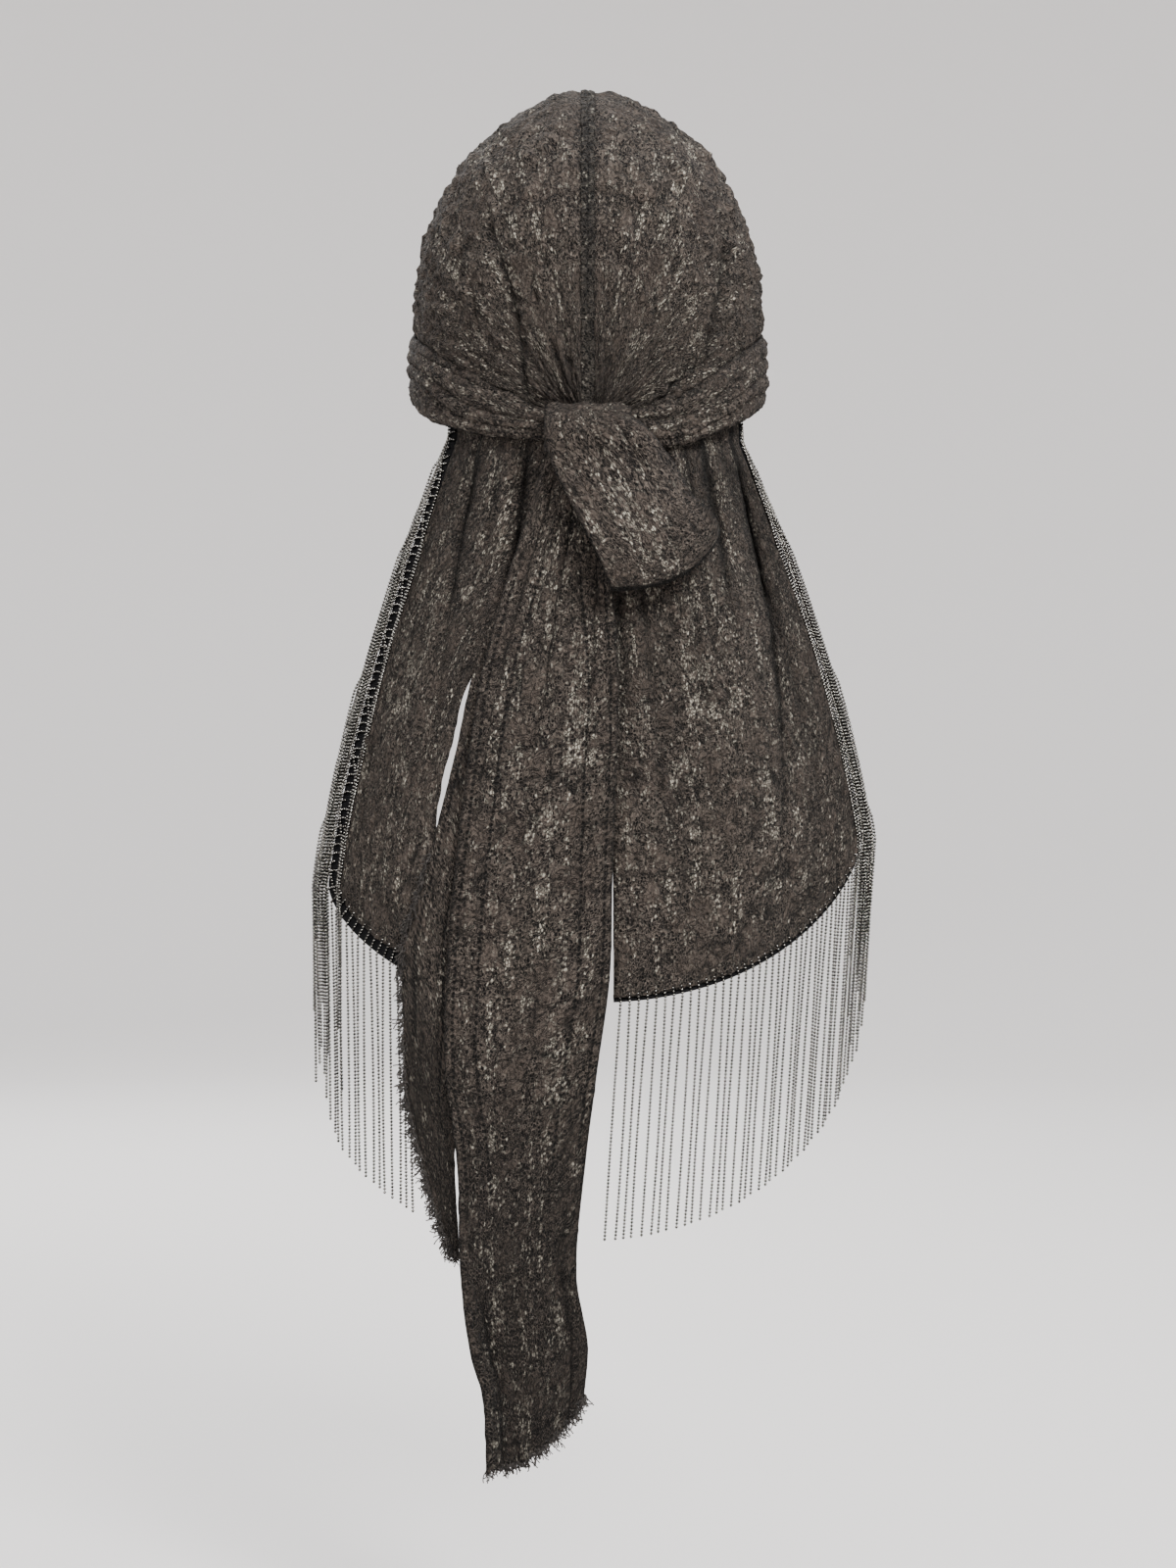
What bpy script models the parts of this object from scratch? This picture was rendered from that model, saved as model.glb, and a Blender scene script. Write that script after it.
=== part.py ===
"""A durag-style turban of crinkled lace: a seamed crown, two tie straps wound round it and knotted
at the nape, one drooping bow loop, a long and a short tie end, and a neck cape in two halves whose
edge carries a black tape with a fringe of fine bead chains.

Metres, +Z up. +Y is the way that the wearer faces and +X is the wearer's right, so the back of the
turban, with its knot, faces -Y. The origin is the middle of the head opening.
"""

import math
from collections import namedtuple

import bmesh
import bpy
from mathutils import Vector

# Cloth
LACE = 0.0012  # wall of the crinkled lace
TIE = 0.0015  # wall of a tie strap, which is sewn double
GAP = 0.0004  # clearance between pieces that touch

# Crown, on its outer surface
CROWN_HALF_WIDTH = 0.0865
CROWN_FRONT = 0.098  # from the origin to the forehead
CROWN_BACK = 0.098  # from the origin to the back of the head
CROWN_TOP = 0.150
CROWN_WIDEST = 0.020  # height of the widest section
CROWN_REACH = 0.110  # how far the surface runs on below the widest section, before it is cut
CROWN_FULLNESS = 2.6
CROWN_PEAK = 1.5  # below 2 the top comes to a soft peak along the seam
NAPE_TAPER = 0.22
RIM_FRONT = 0.018  # height of the rim at the forehead
RIM_BACK = -0.032  # height of the rim at the nape
SEAM_WIDTH = 0.005
SEAM_RISE = 0.0004

# Tie straps round the head
BAND_WIDTH = 0.040
BAND_OVERHANG = 0.010  # how far the strap dips below the rim towards the knot
BAND_RIDGE = 0.0042  # rise of the gathers at the knot
BAND_GATHERS = 3

# Knot
KNOT_WIDTH = 0.041
KNOT_ABOVE = 0.0052  # how far it arches above the straps
KNOT_BELOW = 0.0165  # and below them, over the tie ends
KNOT_ROOM = 0.0112  # between the straps' gathers and its wall
KNOT_PLEAT = 0.0008
KNOT_PLEATS = 4
KNOT_START = math.radians(78)  # its upper end, above the horizontal
KNOT_END = math.radians(-28)

# Bow loop
LOOP_WIDTH = 0.040  # at the knot
LOOP_FOLD_WIDTH = 0.059  # at the bottom fold
LOOP_DROP = 0.063  # from the knot down to the middle of the fold
LOOP_SWAY = 0.037  # how far the fold hangs to the right
LOOP_TILT = math.radians(24)  # rise of the fold line towards the right
LOOP_SAG = 0.010  # how far the fold bellies below that line
LOOP_DEPTH = 0.017
LOOP_LIP = 0.0014  # half the gap between its two layers at the knot
LOOP_STAND = 0.5  # how far its fold stands off the tie ends, as a share of its depth
LOOP_TUCK = 0.0013  # how far its upper end lies behind the knot's lower edge

# Tie ends
TAIL_TUCK = 0.0008
LONG_LENGTH = 0.477
LONG_WIDTH = 0.076
LONG_SLANT = 0.033  # how much higher the raw end is on its right
LONG_WAVE = 0.0010
LONG_WAVES = 2
LONG_CURVE = 2.4  # above 1 the raw end is cut on a curve
SHORT_LENGTH = 0.381
SHORT_WIDTH = 0.070
SHORT_SLANT = 0.074  # how much higher the raw end is on its left
SHORT_CURVE = 1.6  # above 1 the raw end is cut on a curve

# Neck cape
CAPE_DROP = 0.270  # from the nape down to the middle of the hem
CAPE_OUT = 0.020  # how much further back the hem hangs than the nape
CAPE_LEFT_TOP = 0.064  # from the middle to the outer edge, under the strap
CAPE_LEFT_WIDE = 0.1215  # the same at the lower corner
CAPE_LEFT_CORNER = 0.052  # height of the corner above the hem's middle
CAPE_RIGHT_TOP = 0.075
CAPE_RIGHT_WIDE = 0.134
CAPE_RIGHT_CORNER = 0.074
CAPE_LEFT_WRAP = 0.045  # how far the outer edge comes forward round the neck, at the corner
CAPE_RIGHT_WRAP = 0.072
CAPE_BEND = 2.3  # above 2 the cape is flatter behind the neck than at its sides
CAPE_FOLD_START = 0.125  # share of the drop over which the folds deepen
CAPE_TUCK = 0.0035  # how far the cape's top lies inwards, under the strap
HEM_FULLNESS = 2.2
HEM_ROUND = 1.6

# Edge tape and chain fringe
TAPE = 0.0008
TAPE_LEFT_SHOWS = 0.0062  # width of tape beyond the lace
TAPE_RIGHT_SHOWS = 0.0022
CHAIN = 0.0012  # diameter of a bead
CHAIN_PITCH = 0.005
CHAIN_LENGTH = 0.116
CHAIN_LEAN_LEFT = 0.012  # sideways travel for each metre of drop
CHAIN_LEAN_RIGHT = -0.066
BUNDLE_TOP = 0.0025  # width of the chains that lie along the outer edge, at the strap
BUNDLE_WIDE = 0.011  # the same at the corner
LOCK_STEPS = 2

# Fineness
CAPE_CELLS = 14
SLOPE_STEP = 0.0005  # step for measuring the crown's slope
EDGE_STEP = 0.002  # step for measuring the cape's slope at its edge

BandSection = namedtuple("BandSection", "at tall dip_left dip_right")
BAND_SECTIONS = (
    # share of the way round, height and dip as shares of the strap's width and overhang
    BandSection(0.00, 0.95, 0.00, 0.00),
    BandSection(0.50, 0.85, 0.00, 0.00),
    BandSection(0.62, 0.88, 0.25, 0.25),
    BandSection(0.74, 0.76, 0.45, 0.60),
    BandSection(0.84, 0.52, 0.50, 0.95),
    BandSection(0.92, 0.30, 0.45, 0.50),
    BandSection(1.00, 0.28, 0.45, 0.45),
)

TailSection = namedtuple("TailSection", "at left right")
LONG_SECTIONS = (
    # share of the length, and the two edges from the middle as shares of the width
    TailSection(0.00, -0.24, 0.18),
    TailSection(0.05, -0.35, 0.13),
    TailSection(0.15, -0.54, 0.16),
    TailSection(0.24, -0.68, 0.19),
    TailSection(0.43, -0.83, 0.15),
    TailSection(0.52, -0.87, 0.135),
    TailSection(0.61, -0.88, 0.06),
    TailSection(0.71, -0.80, -0.02),
    TailSection(0.81, -0.78, -0.07),
    TailSection(0.88, -0.72, 0.00),
    TailSection(0.93, -0.64, -0.02),
    TailSection(1.00, -0.62, -0.04),
)
SHORT_SECTIONS = (
    TailSection(0.00, -0.22, 0.14),
    TailSection(0.15, -0.53, 0.08),
    TailSection(0.28, -0.78, -0.03),
    TailSection(0.38, -0.90, -0.11),
    TailSection(0.54, -1.12, -0.28),
    TailSection(0.62, -1.25, -0.43),
    TailSection(0.75, -1.24, -0.78),
    TailSection(0.85, -1.22, -0.89),
    TailSection(1.00, -1.16, -0.866),
)

SplitSection = namedtuple("SplitSection", "at left right")
SPLIT_SECTIONS = (
    # share of the drop, and the inner edges of the two halves as shares of their full widths
    SplitSection(0.00, 0.04, 0.02),
    SplitSection(0.15, 0.14, 0.03),
    SplitSection(0.30, 0.30, 0.05),
    SplitSection(0.45, 0.47, 0.065),
    SplitSection(0.58, 0.555, 0.075),
    SplitSection(0.66, 0.595, 0.08),
    SplitSection(0.75, 0.60, 0.085),
    SplitSection(0.90, 0.64, 0.089),
    SplitSection(1.00, 0.66, 0.089),
)

Fold = namedtuple("Fold", "side top hem width depth fade")
FOLDS = (
    # side, place at the nape and at the hem as shares of the half width there, share of width,
    # depth in shares of the cape's drop, and the share of the drop where the fold has opened out
    Fold(-1, 0.78, 0.46, 0.085, 0.026, 0.55),
    Fold(-1, 0.42, 0.30, 0.070, 0.024, 0.45),
    Fold(-1, 0.93, 0.83, 0.100, 0.010, 1.30),
    Fold(1, 0.94, 0.60, 0.080, 0.028, 0.80),
    Fold(1, 0.69, 0.45, 0.095, 0.026, 0.45),
    Fold(1, 0.30, 0.36, 0.110, 0.014, 1.40),
    Fold(1, 0.80, 0.82, 0.090, 0.012, 1.40),
)


def mix(low, high, share):
    """The value that lies that share of the way from low to high."""
    return low + (high - low) * share


def ramp(share):
    """A smooth step from 0 to 1 as share goes from 0 to 1."""
    share = min(max(share, 0.0), 1.0)
    return share * share * (3 - 2 * share)


def flare(share):
    """A rise that starts straight and levels off at 1."""
    return (share + math.sin(share * math.pi / 2)) / 2


def between(rows, at, column):
    """A column of a table of sections at any place along it, on a smooth curve through its rows."""
    at = min(max(at, rows[0].at), rows[-1].at)
    last = len(rows) - 2
    i = min(next(k for k in range(len(rows) - 1) if at <= rows[k + 1].at), last)
    before, low, high, after = (rows[min(max(i + k, 0), last + 1)] for k in (-1, 0, 1, 2))
    span = high.at - low.at
    share = (at - low.at) / span
    start, end = getattr(low, column), getattr(high, column)
    rise = (end - getattr(before, column)) / (high.at - before.at) * span
    fall = (getattr(after, column) - start) / (after.at - low.at) * span
    square, cube = share**2, share**3
    return (
        (2 * cube - 3 * square + 1) * start
        + (cube - 2 * square + share) * rise
        + (3 * square - 2 * cube) * end
        + (cube - square) * fall
    )


def plain_material(name, colour, roughness, metallic=0.0):
    """A Principled material of one colour."""
    material = bpy.data.materials.new(name)
    material.use_nodes = True
    shader = material.node_tree.nodes["Principled BSDF"]
    shader.inputs["Base Color"].default_value = (*colour, 1.0)
    shader.inputs["Roughness"].default_value = roughness
    shader.inputs["Metallic"].default_value = metallic
    return material


def finish_piece(name, mesh_data, collection, material, thickness, side_of_wall):
    """Makes the open surface in mesh_data a closed wall, on the side that side_of_wall says."""
    mesh = bpy.data.meshes.new(name)
    mesh_data.to_mesh(mesh)
    mesh_data.free()
    mesh.materials.append(material)
    mesh.shade_smooth()
    piece = bpy.data.objects.new(name, mesh)
    collection.objects.link(piece)
    wall = piece.modifiers.new("Wall", "SOLIDIFY")
    wall.thickness = thickness
    wall.offset = side_of_wall
    return piece


def placed_grid(across, down, place):
    """A grid of cells whose corners go where place(u, v) says, for u and v from 0 to 1."""
    surface = bmesh.new()
    bmesh.ops.create_grid(surface, x_segments=across, y_segments=down, size=1)
    for vertex in surface.verts:
        vertex.co = place((vertex.co.x + 1) / 2, (vertex.co.y + 1) / 2)
    return surface


def face_outwards(surface):
    """Turns an open surface over if most of it faces the head's axis."""
    surface.normal_update()
    facing = sum(
        face.normal.dot(face.calc_center_median() * Vector((1, 1, 0))) * face.calc_area()
        for face in surface.faces
    )
    if facing < 0:
        bmesh.ops.reverse_faces(surface, faces=surface.faces)


def rim_height(depth):
    """Height of the crown's slanting rim at a place along Y."""
    slope = (RIM_FRONT - RIM_BACK) / (CROWN_FRONT + CROWN_BACK)
    return RIM_BACK + slope * (depth + CROWN_BACK)


def dome(direction):
    """The crown's outer surface for a direction on a unit sphere round its widest section."""
    if direction.z >= 0:
        height = mix(CROWN_WIDEST, CROWN_TOP, direction.z)
        share = max(1 - direction.z**CROWN_FULLNESS, 0) ** (1 / CROWN_PEAK)
    else:
        height = CROWN_WIDEST + CROWN_REACH * direction.z
        share = 1 - NAPE_TAPER * direction.z**2
    level = Vector((direction.x, direction.y, 0))
    if level.length > 0:
        level.normalize()
    depth = CROWN_FRONT if level.y > 0 else CROWN_BACK
    return Vector((level.x * CROWN_HALF_WIDTH * share, level.y * depth * share, height))


def dome_at(side, turn, height):
    """The crown's outer surface at an angle from the forehead and a height."""
    if height >= CROWN_WIDEST:
        lift = (height - CROWN_WIDEST) / (CROWN_TOP - CROWN_WIDEST)
    else:
        lift = (height - CROWN_WIDEST) / CROWN_REACH
    level = math.sqrt(1 - lift**2)
    return dome(Vector((side * math.sin(turn) * level, math.cos(turn) * level, lift)))


def off_dome(side, turn, height, stand):
    """A point that stands off the crown's outer surface."""
    point = dome_at(side, turn, height)
    along = dome_at(side, turn + SLOPE_STEP, height) - dome_at(side, turn - SLOPE_STEP, height)
    up = dome_at(side, turn, height + SLOPE_STEP) - dome_at(side, turn, height - SLOPE_STEP)
    outward = along.cross(up).normalized()
    if outward.dot(point) < 0:
        outward.negate()
    return point + outward * stand


def cut_at_rim(surface):
    """Takes away what lies below the rim."""
    slope = (RIM_FRONT - RIM_BACK) / (CROWN_FRONT + CROWN_BACK)
    bmesh.ops.bisect_plane(
        surface,
        geom=surface.verts[:] + surface.edges[:] + surface.faces[:],
        plane_co=(0, 0, rim_height(0)),
        plane_no=(0, -slope, 1),
        clear_inner=True,
    )


def make_crown_half(side, collection, material):
    """One half of the dome, beside the centre seam."""
    surface = bmesh.new()
    bmesh.ops.create_uvsphere(surface, u_segments=32, v_segments=18, radius=1)
    for vertex in surface.verts:
        vertex.co = dome(vertex.co)
    cut_at_rim(surface)
    bmesh.ops.bisect_plane(
        surface,
        geom=surface.verts[:] + surface.edges[:] + surface.faces[:],
        plane_co=(side * (SEAM_WIDTH / 2 + GAP), 0, 0),
        plane_no=(side, 0, 0),
        clear_inner=True,
    )
    bmesh.ops.remove_doubles(surface, verts=surface.verts, dist=GAP)
    face_outwards(surface)
    name = "crown_left" if side < 0 else "crown_right"
    return finish_piece(name, surface, collection, material, LACE, -1)


def make_crown_seam(collection, material):
    """The raised seam from the forehead over the top to the nape."""

    def place(across, along):
        turn = math.pi * mix(-0.25, 1.25, along)
        point = dome(Vector((0, math.cos(turn), math.sin(turn))))
        return point + Vector((mix(-0.5, 0.5, across) * SEAM_WIDTH, 0, 0))

    surface = placed_grid(1, 36, place)
    cut_at_rim(surface)
    face_outwards(surface)
    surface.normal_update()
    for vertex in surface.verts:
        vertex.co += vertex.normal * SEAM_RISE
    return finish_piece("crown_seam", surface, collection, material, LACE + SEAM_RISE, -1)


def band_edges(side, share):
    """Lower and upper heights of the strap at a share of the way from forehead to knot."""
    dip = "dip_left" if side < 0 else "dip_right"
    depth = math.cos(math.pi * share) * CROWN_BACK
    low = rim_height(depth) - BAND_OVERHANG * between(BAND_SECTIONS, share, dip)
    return low, low + BAND_WIDTH * between(BAND_SECTIONS, share, "tall")


def make_band(side, collection, material):
    """One tie strap, smooth at the forehead and gathered into ridges at the knot."""
    start = GAP / CROWN_HALF_WIDTH

    def place(along, up):
        share = mix(start, 1 - start, along)
        low, high = band_edges(side, share)
        ridge = BAND_RIDGE * ramp(share * 1.2) * math.sin(math.pi * BAND_GATHERS * up) ** 2
        stand = SEAM_RISE + GAP + ridge
        return off_dome(side, math.pi * share, mix(low, high, up), stand)

    surface = placed_grid(18, 3 * BAND_GATHERS, place)
    face_outwards(surface)
    name = "band_left" if side < 0 else "band_right"
    return finish_piece(name, surface, collection, material, TIE, 1)


def knot_sizes():
    """Height of the knot's middle, half its height, and its depth."""
    low, high = band_edges(1, 1.0)
    top, bottom = high + KNOT_ABOVE, low - KNOT_BELOW
    depth = SEAM_RISE + GAP + BAND_RIDGE + 2 * TIE + KNOT_ROOM
    return (top + bottom) / 2, (top - bottom) / 2, depth


def under_knot(tuck):
    """The height of a place that lies that far up behind the knot's lower edge."""
    middle, half, _ = knot_sizes()
    return middle + half * math.sin(KNOT_END) + tuck


def make_knot(collection, material):
    """The turn of cloth that arches over the straps' ends, open towards the head."""
    middle, half, depth = knot_sizes()
    nape = -dome_at(1, math.pi, middle).y

    def place(across, down):
        angle = mix(KNOT_START, KNOT_END, down)
        x = mix(-0.5, 0.5, across) * KNOT_WIDTH
        round_back = nape * (1 - math.sqrt(1 - (x / CROWN_HALF_WIDTH) ** 2))
        pleat = KNOT_PLEAT * math.cos(2 * math.pi * KNOT_PLEATS * across)
        out = (depth + pleat) * math.cos(angle)
        return Vector((x, round_back - nape - out, middle + half * math.sin(angle)))

    surface = placed_grid(4 * KNOT_PLEATS, 8, place)
    face_outwards(surface)
    return finish_piece("knot", surface, collection, material, TIE, -1)


def cape_sizes(side):
    """Top width, full width, corner height and wrap of one half of the cape."""
    if side < 0:
        return CAPE_LEFT_TOP, CAPE_LEFT_WIDE, CAPE_LEFT_CORNER, CAPE_LEFT_WRAP
    return CAPE_RIGHT_TOP, CAPE_RIGHT_WIDE, CAPE_RIGHT_CORNER, CAPE_RIGHT_WRAP


def cape_width(side, height):
    """From the middle to the cape's outer edge at a height."""
    top, wide, corner, _ = cape_sizes(side)
    drop = (RIM_BACK - height) / (CAPE_DROP - corner)
    return mix(top, wide, flare(min(max(drop, 0.0), 1.0)))


def nape_depth(x):
    """How far back the crown's rim is at a place along X."""
    taper = -dome_at(1, math.pi, RIM_BACK).y / CROWN_BACK
    return CROWN_BACK * taper * math.sqrt(max(1 - (x / (CROWN_HALF_WIDTH * taper)) ** 2, 0.04))


def back(x, height):
    """Y of the smooth surface that the cape and the tie ends hang on, at any X and height."""
    side = -1 if x < 0 else 1
    top, _, _, wrap = cape_sizes(side)
    drop = min(max((RIM_BACK - height) / CAPE_DROP, 0.0), 1.0)
    middle = nape_depth(0) + CAPE_OUT * ramp(drop)
    forward = mix(nape_depth(0) - nape_depth(top), wrap, drop)
    return -middle + forward * (abs(x) / cape_width(side, height)) ** CAPE_BEND


def cape_surface(side, x, height):
    """Y of the cape's outer surface: back(), with its folds and its top pressed inwards."""
    drop = (RIM_BACK - height) / CAPE_DROP
    tuck = CAPE_TUCK * (1 - ramp((RIM_BACK - height) / BAND_OVERHANG - 0.5))
    share = abs(x) / cape_width(side, height)
    fold_depth = sum(
        CAPE_DROP
        * fold.depth
        * math.exp(-(((share - mix(fold.top, fold.hem, drop)) / fold.width) ** 2))
        * ramp(drop / CAPE_FOLD_START)
        * (1 - ramp(drop / fold.fade))
        for fold in FOLDS
        if fold.side == side
    )
    return back(x, height) + fold_depth + tuck


def cape_point(side, out, down):
    """A point of the cape: out runs from the split to the outer edge, down from nape to hem."""
    _, wide, corner, _ = cape_sizes(side)
    column = "left" if side < 0 else "right"
    split = between(SPLIT_SECTIONS, 1.0, column)
    at_hem = mix(split, 1.0, out)
    rise = corner * (1 - max(1 - at_hem**HEM_FULLNESS, 0.0) ** (1 / HEM_ROUND))
    hem = RIM_BACK - CAPE_DROP + rise
    nape = mix(between(SPLIT_SECTIONS, 0.0, column) * wide, cape_width(side, RIM_BACK), out)
    top = rim_height(-nape_depth(nape)) - GAP
    height = mix(top, hem, down)
    drop = (RIM_BACK - height) / CAPE_DROP
    inner = between(SPLIT_SECTIONS, drop, column) * wide
    x = side * mix(inner, cape_width(side, height), out)
    return Vector((x, cape_surface(side, x, height), height))


def make_cape_half(side, collection, material):
    """One half of the neck cape."""
    surface = placed_grid(CAPE_CELLS, CAPE_CELLS, lambda out, down: cape_point(side, flare(out), down))
    face_outwards(surface)
    name = "cape_left" if side < 0 else "cape_right"
    return finish_piece(name, surface, collection, material, LACE, -1)


def tail_point(sections, width, length, end_rise, stand, across, down):
    """A point on the inner face of a tie end, which hangs on back() at a distance from it."""
    fall = (length - end_rise(across)) * down
    height = under_knot(TAIL_TUCK) - fall
    at = fall / length
    left = between(sections, at, "left") * width
    right = between(sections, at, "right") * width
    x = mix(left, right, across)
    return Vector((x, back(x, height) - stand(across, at), height))


def make_tail_short(collection, material):
    """The short tie end, next to the cape, with its raw end cut on a slant."""

    def end_rise(across):
        return SHORT_SLANT * (1 - across) ** SHORT_CURVE

    def place(across, down):
        return tail_point(
            SHORT_SECTIONS, SHORT_WIDTH, SHORT_LENGTH, end_rise, lambda *_: GAP, across, down
        )

    surface = placed_grid(6, 18, place)
    face_outwards(surface)
    return finish_piece("tail_short", surface, collection, material, TIE, 1)


def make_tail_long(collection, material):
    """The long tie end, over the short one, with soft lengthwise waves."""

    def end_rise(across):
        return LONG_SLANT * across**LONG_CURVE

    def stand(across, at):
        wave = LONG_WAVE * math.sin(math.pi * LONG_WAVES * across) ** 2
        return 2 * GAP + TIE + wave * ramp(at * LONG_WAVES)

    def place(across, down):
        return tail_point(LONG_SECTIONS, LONG_WIDTH, LONG_LENGTH, end_rise, stand, across, down)

    surface = placed_grid(8, 26, place)
    face_outwards(surface)
    return finish_piece("tail_long", surface, collection, material, TIE, 1)


def make_bow_loop(collection, material):
    """The drooping bow loop: down the outside, round the fold and up the inside."""
    tails = 3 * GAP + 2.5 * TIE  # what hangs between the cape and the middle of its wall

    def place(along, across):
        angle = 2 * math.pi * along
        down = (1 - math.cos(angle)) / 2
        side = mix(-1, 1, across)
        half = mix(LOOP_WIDTH, LOOP_FOLD_WIDTH, down) / 2
        tilt = LOOP_TILT * ramp(down)
        x = LOOP_SWAY * down + side * half * math.cos(tilt)
        height = under_knot(LOOP_TUCK) - LOOP_DROP * down + side * half * math.sin(tilt)
        height -= LOOP_SAG * down * (1 - side**2)
        belly = LOOP_DEPTH / 2 * math.sin(angle) * math.sin(angle / 2)
        half_gap = LOOP_LIP * math.cos(angle / 2) + belly
        tails_wave = LONG_WAVE / 2 * down
        stand = LOOP_DEPTH * LOOP_STAND * down**2
        middle = tails + tails_wave + abs(half_gap) + stand
        return Vector((x, back(x, height) - middle - half_gap, height))

    surface = placed_grid(28, 8, place)
    face_outwards(surface)
    return finish_piece("bow_loop", surface, collection, material, TIE, 0)


class Edge:
    """The outer edge of one half of the cape, from the strap down to the corner and in along the
    hem, through the corners of the cape's own cells and measured by its length."""

    def __init__(self, side):
        self.side = side
        down = [(1.0, k / CAPE_CELLS) for k in range(CAPE_CELLS + 1)]
        along = [(flare(1.0 - k / CAPE_CELLS), 1.0) for k in range(1, CAPE_CELLS + 1)]
        self.points = [cape_point(side, *place) for place in down + along]
        self.marks = [0.0]
        for before, after in zip(self.points, self.points[1:]):
            self.marks.append(self.marks[-1] + (after - before).length)
        self.corner = self.marks[CAPE_CELLS]
        self.length = self.marks[-1]

    def at(self, distance):
        """The edge's point at a distance from the strap."""
        distance = min(max(distance, 0.0), self.length)
        i = next(k for k in range(len(self.marks) - 1) if distance <= self.marks[k + 1])
        share = (distance - self.marks[i]) / (self.marks[i + 1] - self.marks[i])
        return self.points[i].lerp(self.points[i + 1], share)

    def off_edge(self, distance, out):
        """A point in the middle of the cloth's wall, at a distance along the edge and out from it."""
        point = self.at(distance)
        along = (self.at(distance + EDGE_STEP) - self.at(distance - EDGE_STEP)).normalized()
        normal = Vector(
            (
                (back(point.x + EDGE_STEP, point.z) - back(point.x - EDGE_STEP, point.z)),
                -2 * EDGE_STEP,
                (back(point.x, point.z + EDGE_STEP) - back(point.x, point.z - EDGE_STEP)),
            )
        ).normalized()
        off = normal.cross(along).normalized() * self.side
        return point + off * out - normal * LACE / 2


def trim_sizes(side):
    """Width of tape that shows, and the chains' sideways lean."""
    if side < 0:
        return TAPE_LEFT_SHOWS, CHAIN_LEAN_LEFT
    return TAPE_RIGHT_SHOWS, CHAIN_LEAN_RIGHT


def make_tape(side, collection, material):
    """The black tape sewn to the edge of one half of the cape."""
    edge = Edge(side)
    shows, _ = trim_sizes(side)
    halves = [(before + after) / 2 for before, after in zip(edge.marks, edge.marks[1:])]
    marks = sorted(edge.marks + halves)

    def place(along, across):
        mark = marks[round(along * (len(marks) - 1))]
        return edge.off_edge(mark, mix(GAP, shows, across))

    surface = placed_grid(len(marks) - 1, 1, place)
    face_outwards(surface)
    name = "tape_left" if side < 0 else "tape_right"
    return finish_piece(name, surface, collection, material, TAPE, 0)


def make_fringe(side, collection, material):
    """The chain fringe: a head along the tape's edge, the bundle of chains that lie along the
    cape's outer edge and end in one hanging lock, and a lock for each chain under the hem."""
    edge = Edge(side)
    shows, lean = trim_sizes(side)
    fall = Vector((lean, 0, -1)).normalized()
    bundle_cells = CAPE_CELLS
    chains = round((edge.length - edge.corner) / CHAIN_PITCH)
    marks = edge.marks[:bundle_cells]
    hem = edge.length - edge.corner
    marks += [edge.corner + hem * k / (2 * chains) for k in range(2 * chains + 1)]

    def place(along, across):
        mark = marks[round(along * (len(marks) - 1))]
        width = mix(BUNDLE_TOP, BUNDLE_WIDE, ramp(mark / edge.corner))
        if mark > edge.corner:
            width = CHAIN
        return edge.off_edge(mark, shows + GAP + width * across)

    surface = placed_grid(len(marks) - 1, 1, place)
    surface.verts.ensure_lookup_table()
    outer = surface.verts[len(marks) :]
    for i in range(bundle_cells, len(marks) - 1, 2):
        edge_now = surface.edges.get((outer[i], outer[i + 1]))
        for _ in range(LOCK_STEPS):
            made = bmesh.ops.extrude_edge_only(surface, edges=[edge_now])["geom"]
            moved = [item for item in made if isinstance(item, bmesh.types.BMVert)]
            bmesh.ops.translate(surface, verts=moved, vec=fall * CHAIN_LENGTH / LOCK_STEPS)
            edge_now = next(item for item in made if isinstance(item, bmesh.types.BMEdge))
    face_outwards(surface)
    name = "fringe_left" if side < 0 else "fringe_right"
    return finish_piece(name, surface, collection, material, CHAIN, 0)


def main():
    """Clears the file and builds the turban."""
    for item in list(bpy.data.objects):
        bpy.data.objects.remove(item)
    collection = bpy.data.collections.new("turban")
    bpy.context.scene.collection.children.link(collection)
    lace = plain_material("crinkled_lace", (0.095, 0.079, 0.071), 0.85)
    seam = plain_material("seam_lace", (0.070, 0.060, 0.055), 0.9)
    tape = plain_material("black_tape", (0.012, 0.012, 0.013), 0.7)
    chain = plain_material("silver_chain", (0.72, 0.71, 0.69), 0.25, 1.0)
    make_crown_seam(collection, seam)
    make_knot(collection, lace)
    make_bow_loop(collection, lace)
    make_tail_long(collection, lace)
    make_tail_short(collection, lace)
    for side in (-1, 1):
        make_crown_half(side, collection, lace)
        make_band(side, collection, lace)
        make_cape_half(side, collection, lace)
        make_tape(side, collection, tape)
        make_fringe(side, collection, chain)


main()
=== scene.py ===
"""Dresses the turban: crinkled lace on every cloth piece, black tape and silver ball chains.

Metres, +Z up, with the frame of the solid model: +Y is the way that the wearer faces, so the
knot faces -Y, and the origin is the middle of the head opening.
"""

import logging
import math
from dataclasses import dataclass, field
from enum import Enum
from typing import Callable, NamedTuple, Sequence

import bmesh
import bpy
import numpy as np
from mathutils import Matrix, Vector, noise


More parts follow.
